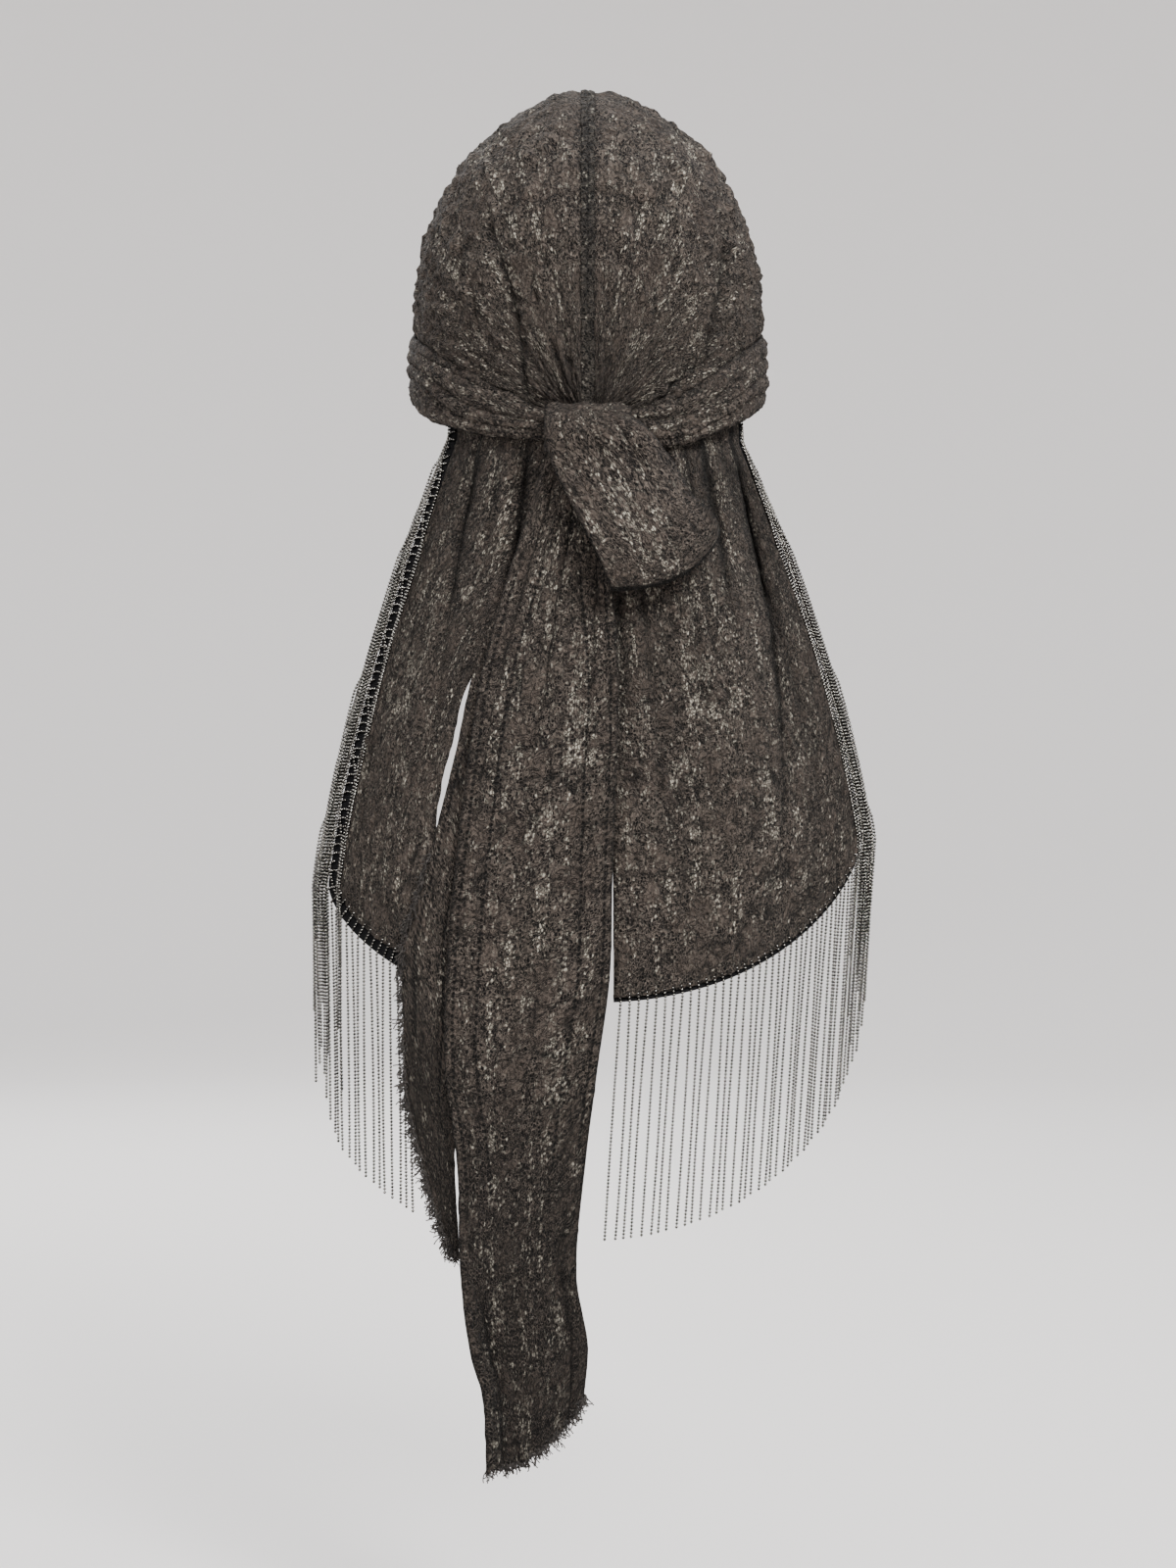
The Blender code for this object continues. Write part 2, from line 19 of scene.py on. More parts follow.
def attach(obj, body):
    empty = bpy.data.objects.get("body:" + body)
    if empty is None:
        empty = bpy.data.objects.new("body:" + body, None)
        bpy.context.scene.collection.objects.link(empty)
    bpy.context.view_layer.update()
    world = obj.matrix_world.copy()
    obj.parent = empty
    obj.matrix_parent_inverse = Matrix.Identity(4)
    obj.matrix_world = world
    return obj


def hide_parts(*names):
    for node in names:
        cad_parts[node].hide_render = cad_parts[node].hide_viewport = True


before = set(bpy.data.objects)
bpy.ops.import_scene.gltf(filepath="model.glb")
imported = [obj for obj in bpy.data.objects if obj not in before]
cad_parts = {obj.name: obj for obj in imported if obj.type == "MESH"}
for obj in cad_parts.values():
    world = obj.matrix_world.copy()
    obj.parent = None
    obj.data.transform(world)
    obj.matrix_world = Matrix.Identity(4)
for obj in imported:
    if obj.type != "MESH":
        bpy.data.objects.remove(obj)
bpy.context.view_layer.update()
ROOT = "root"
GRAIN = "grain"  # the UV map that follows the cloth, in metres
LOG = logging.getLogger("turban")


class Side(Enum):
    """The wearer's left or right, as the sign of X."""

    LEFT = -1
    RIGHT = 1

    @property
    def label(self) -> str:
        """The side's name, as the nodes' names have it."""
        return self.name.lower()


def mix(low: float, high: float, share: float) -> float:
    """The value that lies that share of the way from low to high."""
    return low + (high - low) * share


def ramp(share: float) -> float:
    """A smooth step from 0 to 1 as share goes from 0 to 1."""
    share = min(max(share, 0.0), 1.0)
    return share * share * (3 - 2 * share)


def flare(share: float) -> float:
    """A rise that starts straight and levels off at 1."""
    return (share + math.sin(share * math.pi / 2)) / 2


def rim_shade(share: float, width: float, depth: float = 0.8) -> float:
    """How much painted shade a cloth gets where its two edges turn under, at a share of the way
    across it.
    """
    return depth * ramp((width - min(share, 1 - share)) / width)


def between(rows: Sequence[NamedTuple], at: float, column: str) -> float:
    """Reads a table of sections at any place along it, on a smooth curve through its rows.

    Args:
        rows: The sections, each with its place in the column named at.
        at: The place to read.
        column: The name of the column to read.

    Returns:
        The column's value there.
    """
    at = min(max(at, rows[0].at), rows[-1].at)
    last = len(rows) - 2
    i = min(next(k for k in range(len(rows) - 1) if at <= rows[k + 1].at), last)
    before, low, high, after = (rows[min(max(i + k, 0), last + 1)] for k in (-1, 0, 1, 2))
    span = high.at - low.at
    share = (at - low.at) / span
    start, end = getattr(low, column), getattr(high, column)
    rise = (end - getattr(before, column)) / (high.at - before.at) * span
    fall = (getattr(after, column) - start) / (after.at - low.at) * span
    square, cube = share**2, share**3
    return (
        (2 * cube - 3 * square + 1) * start
        + (cube - 2 * square + share) * rise
        + (3 * square - 2 * cube) * end
        + (cube - square) * fall
    )


class TailSection(NamedTuple):
    """Edges of a tie end at a share of its length, as shares of its width from the middle."""

    at: float
    left: float
    right: float


class Fold(NamedTuple):
    """A valley in the cape, with its place and width as shares of the half width there, its
    depth as a share of the drop, and the share of the drop where it has opened out."""

    side: int
    top: float
    hem: float
    width: float
    depth: float
    fade: float


class BandSection(NamedTuple):
    """Height and dip of a strap, as shares of its width and overhang, on the way round."""

    at: float
    tall: float
    dip_left: float
    dip_right: float


class LoopSection(NamedTuple):
    """Where the loop's two edges are, across and down, as shares of the loop's drop."""

    at: float
    left: float
    left_down: float
    right: float
    right_down: float


@dataclass(frozen=True)
class HeadForm:
    """The dome that the crown follows, and its slanting rim."""

    half_width: float = 0.0865
    depth: float = 0.098
    top: float = 0.150
    widest: float = 0.020
    reach: float = 0.110
    fullness: float = 2.6
    peak: float = 1.5
    taper: float = 0.22
    rim_front: float = 0.018
    rim_back: float = -0.032
    slope_step: float = 0.0005

    @property
    def rim_slope(self) -> float:
        """Rise of the rim for each metre forward."""
        return (self.rim_front - self.rim_back) / (2 * self.depth)

    def rim(self, depth: float) -> float:
        """Height of the rim at a place along Y."""
        return self.rim_back + self.rim_slope * (depth + self.depth)

    def spread(self, height: float) -> float:
        """Size of the level section at a height, as a share of the widest one."""
        if height >= self.widest:
            lift = (height - self.widest) / (self.top - self.widest)
            return max(1 - lift**self.fullness, 0) ** (1 / self.peak)
        return 1 - self.taper * ((height - self.widest) / self.reach) ** 2

    def at(self, side: int, turn: float, height: float) -> Vector:
        """The surface at an angle from the forehead and a height."""
        spread = self.spread(height)
        return Vector(
            (
                side * math.sin(turn) * self.half_width * spread,
                math.cos(turn) * self.depth * spread,
                height,
            )
        )

    def off(self, side: int, turn: float, height: float, stand: float) -> Vector:
        """A point that stands off the surface by a distance."""
        step = self.slope_step
        point = self.at(side, turn, height)
        along = self.at(side, turn + step, height) - self.at(side, turn - step, height)
        up = self.at(side, turn, height + step) - self.at(side, turn, height - step)
        outward = along.cross(up).normalized()
        if outward.dot(point) < 0:
            outward.negate()
        return point + outward * stand

    def nape(self, across: float) -> float:
        """How far back the rim is at a place along X."""
        taper = self.spread(self.rim_back)
        return self.depth * taper * math.sqrt(
            max(1 - (across / (self.half_width * taper)) ** 2, 0.04)
        )

    def from_rim(self, start: float, roll: float, turn: float) -> Vector:
        """Where a line from the middle of the rim's plane meets the surface.

        Args:
            start: X of the line's start.
            roll: The line's angle from upright, round the middle line; its sign is the side.
            turn: The line's angle from the forehead, towards the nape.

        Returns:
            The point on the surface.
        """
        lean = math.atan(self.rim_slope)
        upright = math.sin(turn) * math.cos(roll)
        course = Vector(
            (
                math.sin(turn) * math.sin(roll),
                math.cos(turn) * math.cos(lean) - upright * math.sin(lean),
                math.cos(turn) * math.sin(lean) + upright * math.cos(lean),
            )
        )
        origin = Vector((start, 0, self.rim(0)))
        near, far = 0.0, 2 * self.top
        for _ in range(26):
            middle = (near + far) / 2
            point = origin + course * middle
            level = math.hypot(point.x / self.half_width, point.y / self.depth)
            outside = point.z > self.top or level > self.spread(point.z)
            near, far = (near, middle) if outside else (middle, far)
        return origin + course * near


@dataclass(frozen=True)
class CapeForm:
    """The cloth that hangs behind the neck: its outline, its hang and its folds."""

    head: HeadForm = HeadForm()
    drop: float = 0.270
    out: float = 0.020
    tops: tuple[float, float] = (0.064, 0.075)
    wides: tuple[float, float] = (0.1215, 0.134)
    corners: tuple[float, float] = (0.052, 0.074)
    wraps: tuple[float, float] = (0.045, 0.072)
    bend: float = 2.3
    tuck: float = 0.0035
    tuck_height: float = 0.010
    fold_start: float = 0.125
    hem_fullness: float = 2.2
    hem_round: float = 1.6
    gap: float = 0.0004
    # crease depth that gives the full painted shade in a crease
    darkest: float = 0.013

    SPLIT = (
        TailSection(0.00, 0.04, 0.02),
        TailSection(0.15, 0.14, 0.02),
        TailSection(0.30, 0.30, 0.022),
        TailSection(0.45, 0.468, 0.03),
        TailSection(0.58, 0.545, 0.05),
        TailSection(0.66, 0.585, 0.072),
        TailSection(0.75, 0.60, 0.085),
        TailSection(0.90, 0.64, 0.089),
        TailSection(1.00, 0.66, 0.089),
    )
    FOLDS = (
        Fold(-1, 0.78, 0.46, 0.085, 0.026, 0.55),
        Fold(-1, 0.42, 0.30, 0.070, 0.024, 0.45),
        Fold(-1, 0.93, 0.83, 0.100, 0.010, 1.30),
        Fold(1, 0.94, 0.60, 0.080, 0.028, 0.80),
        Fold(1, 0.69, 0.45, 0.095, 0.026, 0.45),
        Fold(1, 0.30, 0.36, 0.110, 0.014, 1.40),
        Fold(1, 0.80, 0.82, 0.090, 0.012, 1.40),
    )
    CREASES = (
        Fold(-1, 0.80, 0.55, 0.022, 0.016, 0.75),
        Fold(-1, 0.62, 0.42, 0.030, 0.010, 0.50),
        Fold(-1, 0.43, 0.33, 0.024, 0.016, 0.60),
        Fold(-1, 0.97, 0.93, 0.030, 0.006, 1.20),
        Fold(-1, 0.86, 0.78, 0.040, 0.005, 1.30),
        Fold(1, 0.935, 0.60, 0.016, 0.026, 0.95),
        Fold(1, 0.15, 0.10, 0.030, 0.016, 0.80),
        Fold(1, 0.72, 0.48, 0.030, 0.018, 0.50),
        Fold(1, 0.60, 0.40, 0.026, 0.012, 0.50),
        Fold(1, 0.48, 0.44, 0.030, 0.009, 0.90),
        Fold(1, 0.22, 0.30, 0.030, 0.009, 1.10),
        Fold(1, 0.84, 0.88, 0.030, 0.007, 1.30),
    )

    def pick(self, pair: tuple[float, float], side: int) -> float:
        """The left or right one of a pair of sizes."""
        return pair[0] if side < 0 else pair[1]

    def width(self, side: int, height: float) -> float:
        """From the middle to the outer edge at a height."""
        fall = self.drop - self.pick(self.corners, side)
        share = min(max((self.head.rim_back - height) / fall, 0.0), 1.0)
        return mix(self.pick(self.tops, side), self.pick(self.wides, side), flare(share))

    def back(self, across: float, height: float) -> float:
        """Y of the smooth surface that the cape and the tie ends hang on."""
        side = -1 if across < 0 else 1
        down = min(max((self.head.rim_back - height) / self.drop, 0.0), 1.0)
        nape = self.head.nape(0)
        rest = nape - self.head.nape(self.pick(self.tops, side))
        forward = mix(rest, self.pick(self.wraps, side), down)
        share = abs(across) / self.width(side, height)
        return -nape - self.out * ramp(down) + forward * share**self.bend

    def surface(self, side: int, across: float, height: float, creases: bool = False) -> float:
        """Y of the cape's outer face, with its folds and its top pressed inwards.

        Args:
            side: The half of the cape, as the sign of X.
            across: X.
            height: Z.
            creases: Whether the sharp small creases are pressed in as well.

        Returns:
            Y at that place.
        """
        down = (self.head.rim_back - height) / self.drop
        share = abs(across) / self.width(side, height)
        tuck = self.tuck * (1 - ramp((self.head.rim_back - height) / self.tuck_height - 0.5))
        pressed = 0.0
        for fold in self.FOLDS:
            if fold.side == side:
                away = (share - mix(fold.top, fold.hem, down)) / fold.width
                pressed += fold.depth * math.exp(-(away**2)) * (1 - ramp(down / fold.fade))
        if creases:
            for fold in self.CREASES:
                if fold.side == side:
                    away = (share - mix(fold.top, fold.hem, down)) / fold.width
                    sharp = math.exp(-(abs(away) ** 1.15))
                    pressed += fold.depth * sharp * (1 - ramp(down / fold.fade))
        pressed *= self.drop * ramp(down / self.fold_start)
        return self.back(across, height) + pressed + tuck

    def shade(self, side: int, across: float, height: float) -> float:
        """How deep in the folds and sharp creases a place is, from 0 to 1, which sets their painted
        shade.
        """
        down = (self.head.rim_back - height) / self.drop
        share = abs(across) / self.width(side, height)
        deep = 0.0
        for fold in self.FOLDS:
            if fold.side == side:
                away = (share - mix(fold.top, fold.hem, down)) / (fold.width * 0.55)
                broad = math.exp(-(away**2)) * (1 - ramp(down / fold.fade)) * ramp(down / 0.06)
                deep = max(deep, broad * min(fold.depth / 0.024, 1.0) * 0.55)
        for fold in self.CREASES:
            if fold.side == side:
                away = (share - mix(fold.top, fold.hem, down)) / (fold.width * 0.9)
                sharp = math.exp(-(away**2)) * (1 - ramp(down / fold.fade))
                deep += sharp * fold.depth / self.darkest
        return min(deep, 1.0)

    def point(self, side: int, out: float, down: float, creases: bool = False) -> Vector:
        """A point of the cape: out runs from the split to the outer edge, down from the nape."""
        wide, corner = self.pick(self.wides, side), self.pick(self.corners, side)
        column = "left" if side < 0 else "right"
        at_hem = mix(between(self.SPLIT, 1.0, column), 1.0, out)
        rise = corner * (1 - max(1 - at_hem**self.hem_fullness, 0.0) ** (1 / self.hem_round))
        hem = self.head.rim_back - self.drop + rise
        inner = between(self.SPLIT, 0.0, column) * wide
        nape = mix(inner, self.width(side, self.head.rim_back), out)
        top = self.head.rim(-self.head.nape(nape)) - self.gap
        height = mix(top, hem, down)
        share = (self.head.rim_back - height) / self.drop
        inner = between(self.SPLIT, share, column) * wide
        across = side * mix(inner, self.width(side, height), out)
        return Vector((across, self.surface(side, across, height, creases), height))


@dataclass(frozen=True)
class Pucker:
    """The crinkle of the lace, as a height over a place on the flat cloth."""

    height: float = 0.0022
    size: float = 0.0085
    stretch: float = 1.5
    swell: float = 0.0
    seed: float = 0.0
    crevice: float = 0.16

    def at(self, across: float, along: float) -> tuple[float, float]:
        """Rise of the cloth at a place, from its valleys, and how much painted shade its crevice
        gets.

        Args:
            across: Metres across the grain.
            along: Metres along the grain.

        Returns:
            The rise in metres, and the painted crevice shade from 0 to 1.
        """
        place = Vector((across / self.size, along / (self.size * self.stretch), self.seed))
        drift = noise.noise_vector(place * 0.6) * 0.7
        broad = abs(noise.noise(place + drift))
        fine = abs(noise.noise(place * 2.3 + drift * 1.5))
        large = abs(noise.noise(place * 0.42 + Vector((9.0, 0, 0)) + drift * 0.5))
        rise = self.height * (1.3 * broad + 0.7 * fine) + self.swell * large
        # only some crevices get the painted shade
        strong = ramp(noise.noise(place * 0.8 + Vector((0, 5.0, 0))) * 1.6 + 0.55)
        return rise, strong * (1 - ramp(broad / self.crevice))


class Tone(NamedTuple):
    """How the net looks at a place: how many cells show pale, how much painted shade shows through
    its holes, and how much painted shade darkens it.
    """

    pale: float = 0.5
    open: float = 0.3
    row: float = 1.0
    shade: float = 0.0


@dataclass
class Cloth:
    """A cut of lace, made as a fine grid of cells and laid on a form."""

    name: str
    cells: tuple[int, int]
    size: tuple[float, float]
    place: Callable[[float, float], Vector]
    material: bpy.types.Material
    thickness: float
    wall: float = -1.0
    pucker: Pucker = Pucker()
    tone: Callable[[float, float], Tone] = lambda across, along: Tone()
    swell: Callable[[float, float], float] = lambda across, along: 1.0
    weld: float = 0.0
    crevice_shade: float = 0.85
    turned: bool = False

    def make(self) -> bpy.types.Object:
        """Lays the cloth and gives it its wall.

        Returns:
            The finished piece, at the origin, on the root body.
        """
        fine = 1.0
        across, along = (max(int(count * fine), 2) for count in self.cells)
        surface = bmesh.new()
        bmesh.ops.create_grid(surface, x_segments=across, y_segments=along, size=1)
        pale = surface.verts.layers.float.new("pale")
        open_net_shade = surface.verts.layers.float.new("open")
        row = surface.verts.layers.float.new("row")
        shade = surface.verts.layers.float.new("shade")
        shares = [((v.co.x + 1) / 2, (v.co.y + 1) / 2) for v in surface.verts]
        for vertex, (u, v) in zip(surface.verts, shares):
            tone = self.tone(u, v)
            vertex[pale], vertex[open_net_shade] = tone.pale, tone.open
            vertex[row], vertex[shade] = tone.row, tone.shade
            vertex.co = self.place(u, v)
        surface.verts.index_update()
        grain = surface.loops.layers.uv.new(GRAIN)
        for face in surface.faces:
            for loop in face.loops:
                u, v = shares[loop.vert.index]
                laid = (u * self.size[0], v * self.size[1])
                loop[grain].uv = laid[::-1] if self.turned else laid
        self.face_outwards(surface)
        surface.normal_update()
        for vertex, (u, v) in zip(surface.verts, shares):
            rise, deep = self.pucker.at(u * self.size[0], v * self.size[1])
            swell = self.swell(u, v)
            vertex.co += vertex.normal * rise * swell
            # painted shade in the crevices of the puckers, kept in the shade attribute
            vertex[shade] = max(vertex[shade], self.crevice_shade * deep * min(swell, 1.0))
        if self.weld:
            bmesh.ops.remove_doubles(surface, verts=surface.verts, dist=self.weld)
        mesh = bpy.data.meshes.new(self.name)
        surface.to_mesh(mesh)
        surface.free()
        mesh.materials.append(self.material)
        mesh.shade_smooth()
        piece = bpy.data.objects.new(self.name, mesh)
        bpy.context.scene.collection.objects.link(piece)
        wall = piece.modifiers.new("Wall", "SOLIDIFY")
        wall.thickness = self.thickness
        wall.offset = self.wall
        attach(piece, ROOT)
        LOG.info("%s: %d cells of lace", self.name, across * along)
        return piece

    @staticmethod
    def face_outwards(surface: bmesh.types.BMesh) -> None:
        """Turns an open surface over if most of it faces the head's axis."""
        surface.normal_update()
        level = Vector((1, 1, 0))
        facing = sum(
            face.normal.dot(face.calc_center_median() * level) * face.calc_area()
            for face in surface.faces
        )
        if facing < 0:
            bmesh.ops.reverse_faces(surface, faces=surface.faces)


class Graph:
    """Writes a node tree, where each call adds one node with its values and links."""

    def __init__(self, tree: bpy.types.NodeTree) -> None:
        """Takes a tree and empties it."""
        self.tree = tree
        tree.nodes.clear()

    def node(self, kind: str, inputs: dict | None = None, **settings: object) -> bpy.types.Node:
        """Adds a node.

        Args:
            kind: The node's type.
            inputs: Values or output sockets, by the input's name or number.
            **settings: The node's own settings.

        Returns:
            The new node.
        """
        made = self.tree.nodes.new(kind)
        for name, value in settings.items():
            setattr(made, name, value)
        for key, value in (inputs or {}).items():
            if isinstance(value, bpy.types.NodeSocket):
                self.tree.links.new(value, made.inputs[key])
            else:
                made.inputs[key].default_value = value
        return made

    def math(self, operation: str, *values: object) -> bpy.types.NodeSocket:
        """Adds a Math node and returns its value."""
        return self.node("ShaderNodeMath", dict(enumerate(values)), operation=operation).outputs[0]

    def vector(self, operation: str, *values: object) -> bpy.types.NodeSocket:
        """Adds a Vector Math node and returns its vector."""
        made = self.node("ShaderNodeVectorMath", dict(enumerate(values)), operation=operation)
        return made.outputs["Vector"]

    def scaled(self, vector: object, scale: object) -> bpy.types.NodeSocket:
        """Adds a node that scales a vector."""
        inputs = {"Vector": vector, "Scale": scale}
        return self.node("ShaderNodeVectorMath", inputs, operation="SCALE").outputs["Vector"]

    def step(self, value: object, start: float, end: float) -> bpy.types.NodeSocket:
        """Adds a smooth step from 0 at start to 1 at end."""
        inputs = {"Value": value, "From Min": start, "From Max": end}
        made = self.node("ShaderNodeMapRange", inputs, interpolation_type="SMOOTHSTEP")
        return made.outputs["Result"]

    def blend(self, share: object, low: object, high: object) -> bpy.types.NodeSocket:
        """Adds a mix of two colours."""
        made = self.node("ShaderNodeMix", {0: share, 6: low, 7: high}, data_type="RGBA")
        return made.outputs[2]

    def noise(self, vector: object, scale: float, detail: float = 2.0) -> bpy.types.NodeSocket:
        """Adds a noise over a vector and returns its value."""
        inputs = {"Vector": vector, "Scale": scale, "Detail": detail}
        return self.node("ShaderNodeTexNoise", inputs).outputs["Fac"]

    def group(self, tree: bpy.types.NodeTree, inputs: dict) -> bpy.types.Node:
        """Places a node group."""
        made = self.tree.nodes.new("ShaderNodeGroup")
        made.node_tree = tree
        for key, value in inputs.items():
            if isinstance(value, bpy.types.NodeSocket):
                self.tree.links.new(value, made.inputs[key])
            else:
                made.inputs[key].default_value = value
        return made


class SharedEffects:
    """The node groups that several finishes use, each built once."""

    def __init__(self) -> None:
        """Builds all the groups."""
        self.net = self.build_net()
        self.leaves = self.build_leaves()
        self.crinkle = self.build_crinkle()
        self.holes = self.build_holes()

    @staticmethod
    def begin(name: str, inputs: dict, outputs: Sequence[str]) -> tuple[Graph, bpy.types.Node]:
        """Starts a group with named sockets.

        Args:
            name: The group's name.
            inputs: Default values by socket name; None stands for a vector.
            outputs: Names of the values that it puts out.

        Returns:
            The graph to write in, and the node that holds the group's inputs.
        """
        tree = bpy.data.node_groups.new(name, "ShaderNodeTree")
        graph = Graph(tree)
        for socket, value in inputs.items():
            kind = "NodeSocketVector" if value is None else "NodeSocketFloat"
            made = tree.interface.new_socket(name=socket, in_out="INPUT", socket_type=kind)
            if value is not None:
                made.default_value = value
        for socket in outputs:
            tree.interface.new_socket(name=socket, in_out="OUTPUT", socket_type="NodeSocketFloat")
        return graph, graph.node("NodeGroupInput")

    def build_net(self) -> bpy.types.NodeTree:
        """Irregular net: holes between threads, random numbers a cell, and the threads' rise."""
        inputs = {"Vector": None, "Cell": 0.00115, "Thread": 0.16}
        graph, given = self.begin("Net", inputs, ("Hole", "Random", "Other", "Rise"))
        drift = graph.node(
            "ShaderNodeTexNoise", {"Vector": given.outputs["Vector"], "Scale": 420.0}
        ).outputs["Color"]
        drifted = graph.vector("ADD", given.outputs["Vector"], graph.scaled(drift, 0.0012))
        tall = graph.vector("MULTIPLY", drifted, (1.0, 0.62, 1.0))
        place = graph.scaled(tall, graph.math("DIVIDE", 1.0, given.outputs["Cell"]))
        edge = graph.node(
            "ShaderNodeTexVoronoi",
            {"Vector": place, "Scale": 1.0, "Randomness": 1.0},
            voronoi_dimensions="2D",
            feature="DISTANCE_TO_EDGE",
        ).outputs["Distance"]
        cell = graph.node(
            "ShaderNodeTexVoronoi",
            {"Vector": place, "Scale": 1.0, "Randomness": 1.0},
            voronoi_dimensions="2D",
            feature="F1",
        )
        past = graph.math("SUBTRACT", edge, given.outputs["Thread"])
        hole = graph.step(past, -0.10, 0.10)
        random = graph.node("ShaderNodeSeparateColor", {0: cell.outputs["Color"]})
        made = {
            "Hole": hole,
            "Random": random.outputs[0],
            "Other": random.outputs[1],
            "Rise": graph.math("SUBTRACT", 1.0, hole),
        }
        graph.node("NodeGroupOutput", made)
        return graph.tree

    def build_leaves(self) -> bpy.types.NodeTree:
        """Closely worked leaf and petal motifs strewn over the net, with their outlines."""
        inputs = {"Vector": None, "Spacing": 0.021, "Fill": 0.30}
        graph, given = self.begin("Leaf motifs", inputs, ("Leaf", "Outline", "Rise"))
        drift = graph.node(
            "ShaderNodeTexNoise", {"Vector": given.outputs["Vector"], "Scale": 95.0}
        ).outputs["Color"]
        drifted = graph.vector("ADD", given.outputs["Vector"], graph.scaled(drift, 0.006))
        place = graph.scaled(drifted, graph.math("DIVIDE", 1.0, given.outputs["Spacing"]))
        flower = graph.node(
            "ShaderNodeTexVoronoi",
            {"Vector": place, "Scale": 1.0, "Randomness": 0.9},
            voronoi_dimensions="2D",
            feature="F1",
        )
        away = graph.vector("SUBTRACT", place, flower.outputs["Position"])
        parts = graph.node("ShaderNodeSeparateXYZ", {0: away})
        turn = graph.math("ARCTAN2", parts.outputs[1], parts.outputs[0])
        own = graph.node("ShaderNodeSeparateColor", {0: flower.outputs["Color"]})
        spin = graph.math("MULTIPLY", own.outputs[0], 6.28)
        petals = graph.math("SINE", graph.math("MULTIPLY_ADD", turn, 3.0, spin))
        lobes = graph.math("MULTIPLY", petals, 0.10)
        reach = graph.math("ADD", given.outputs["Fill"], lobes)
        sized = graph.math("MULTIPLY", reach, graph.math("MULTIPLY_ADD", own.outputs[1], 0.6, 0.7))
        inside = graph.math("SUBTRACT", sized, flower.outputs["Distance"])
        leaf = graph.step(inside, -0.09, 0.12)
        broken = graph.step(graph.noise(given.outputs["Vector"], 230.0, 1.0), 0.46, 0.60)
        outline = graph.step(graph.math("ABSOLUTE", inside), 0.040, 0.0)
        stems = graph.noise(given.outputs["Vector"], 70.0, 1.0)
        stem = graph.step(graph.math("ABSOLUTE", graph.math("SUBTRACT", stems, 0.5)), 0.022, 0.004)
        line = graph.math("MAXIMUM", outline, graph.math("MULTIPLY", stem, 0.8))
        line = graph.math("MULTIPLY", line, broken)
        rise = graph.math("SUBTRACT", leaf, line)
        graph.node("NodeGroupOutput", {"Leaf": leaf, "Outline": line, "Rise": rise})
        return graph.tree

    def build_crinkle(self) -> bpy.types.NodeTree:
        """The finest puckers of the cloth, smaller than its mesh can hold, and painted shade in
        their valleys.
        """
        inputs = {"Vector": None, "Size": 0.0042}
        graph, given = self.begin("Crinkle", inputs, ("Rise", "Valley shade", "Tone"))
        size = graph.math("DIVIDE", 1.0, given.outputs["Size"])
        place = graph.scaled(given.outputs["Vector"], size)
        made = graph.node(
            "ShaderNodeTexNoise",
            {"Vector": place, "Scale": 1.0, "Detail": 1.6, "Distortion": 1.3},
        )
        channels = graph.node("ShaderNodeSeparateColor", {0: made.outputs["Color"]})
        off = graph.math("ABSOLUTE", graph.math("SUBTRACT", made.outputs["Fac"], 0.5))
        rise = graph.step(off, 0.0, 0.11)
        # painted shade along the valleys of the puckers
        valley = graph.math("SUBTRACT", 1.0, graph.step(off, 0.006, 0.042))
        rare = graph.step(channels.outputs[1], 0.36, 0.54)
        made = {
            "Rise": rise,
            "Valley shade": graph.math("MULTIPLY", valley, rare),
            "Tone": graph.step(channels.outputs[2], 0.30, 0.70),
        }
        graph.node("NodeGroupOutput", made)
        return graph.tree

    def build_holes(self) -> bpy.types.NodeTree:
        """Two rows of round needle holes that follow an edge of the cloth."""
        inputs = {"Edge": 1.0, "Along": 0.0, "Inset": 0.0035, "Spacing": 0.0115, "Pitch": 0.0032}
        graph, given = self.begin("Needle holes", {**inputs, "Radius": 0.0008}, ("Hole", "Line"))
        pitch = given.outputs["Pitch"]
        away = graph.math(
            "SUBTRACT",
            graph.math("PINGPONG", given.outputs["Along"], pitch),
            graph.math("MULTIPLY", pitch, 0.5),
        )
        first = graph.math("SUBTRACT", given.outputs["Edge"], given.outputs["Inset"])
        second = graph.math("SUBTRACT", first, given.outputs["Spacing"])
        across = graph.math(
            "MINIMUM", graph.math("ABSOLUTE", first), graph.math("ABSOLUTE", second)
        )
        square = graph.math("MULTIPLY", across, across)
        far = graph.math("SQRT", graph.math("MULTIPLY_ADD", away, away, square))
        hole = graph.step(graph.math("DIVIDE", far, given.outputs["Radius"]), 1.3, 0.7)
        line = graph.step(graph.math("DIVIDE", across, given.outputs["Radius"]), 1.2, 0.2)
        graph.node("NodeGroupOutput", {"Hole": hole, "Line": line})
        return graph.tree


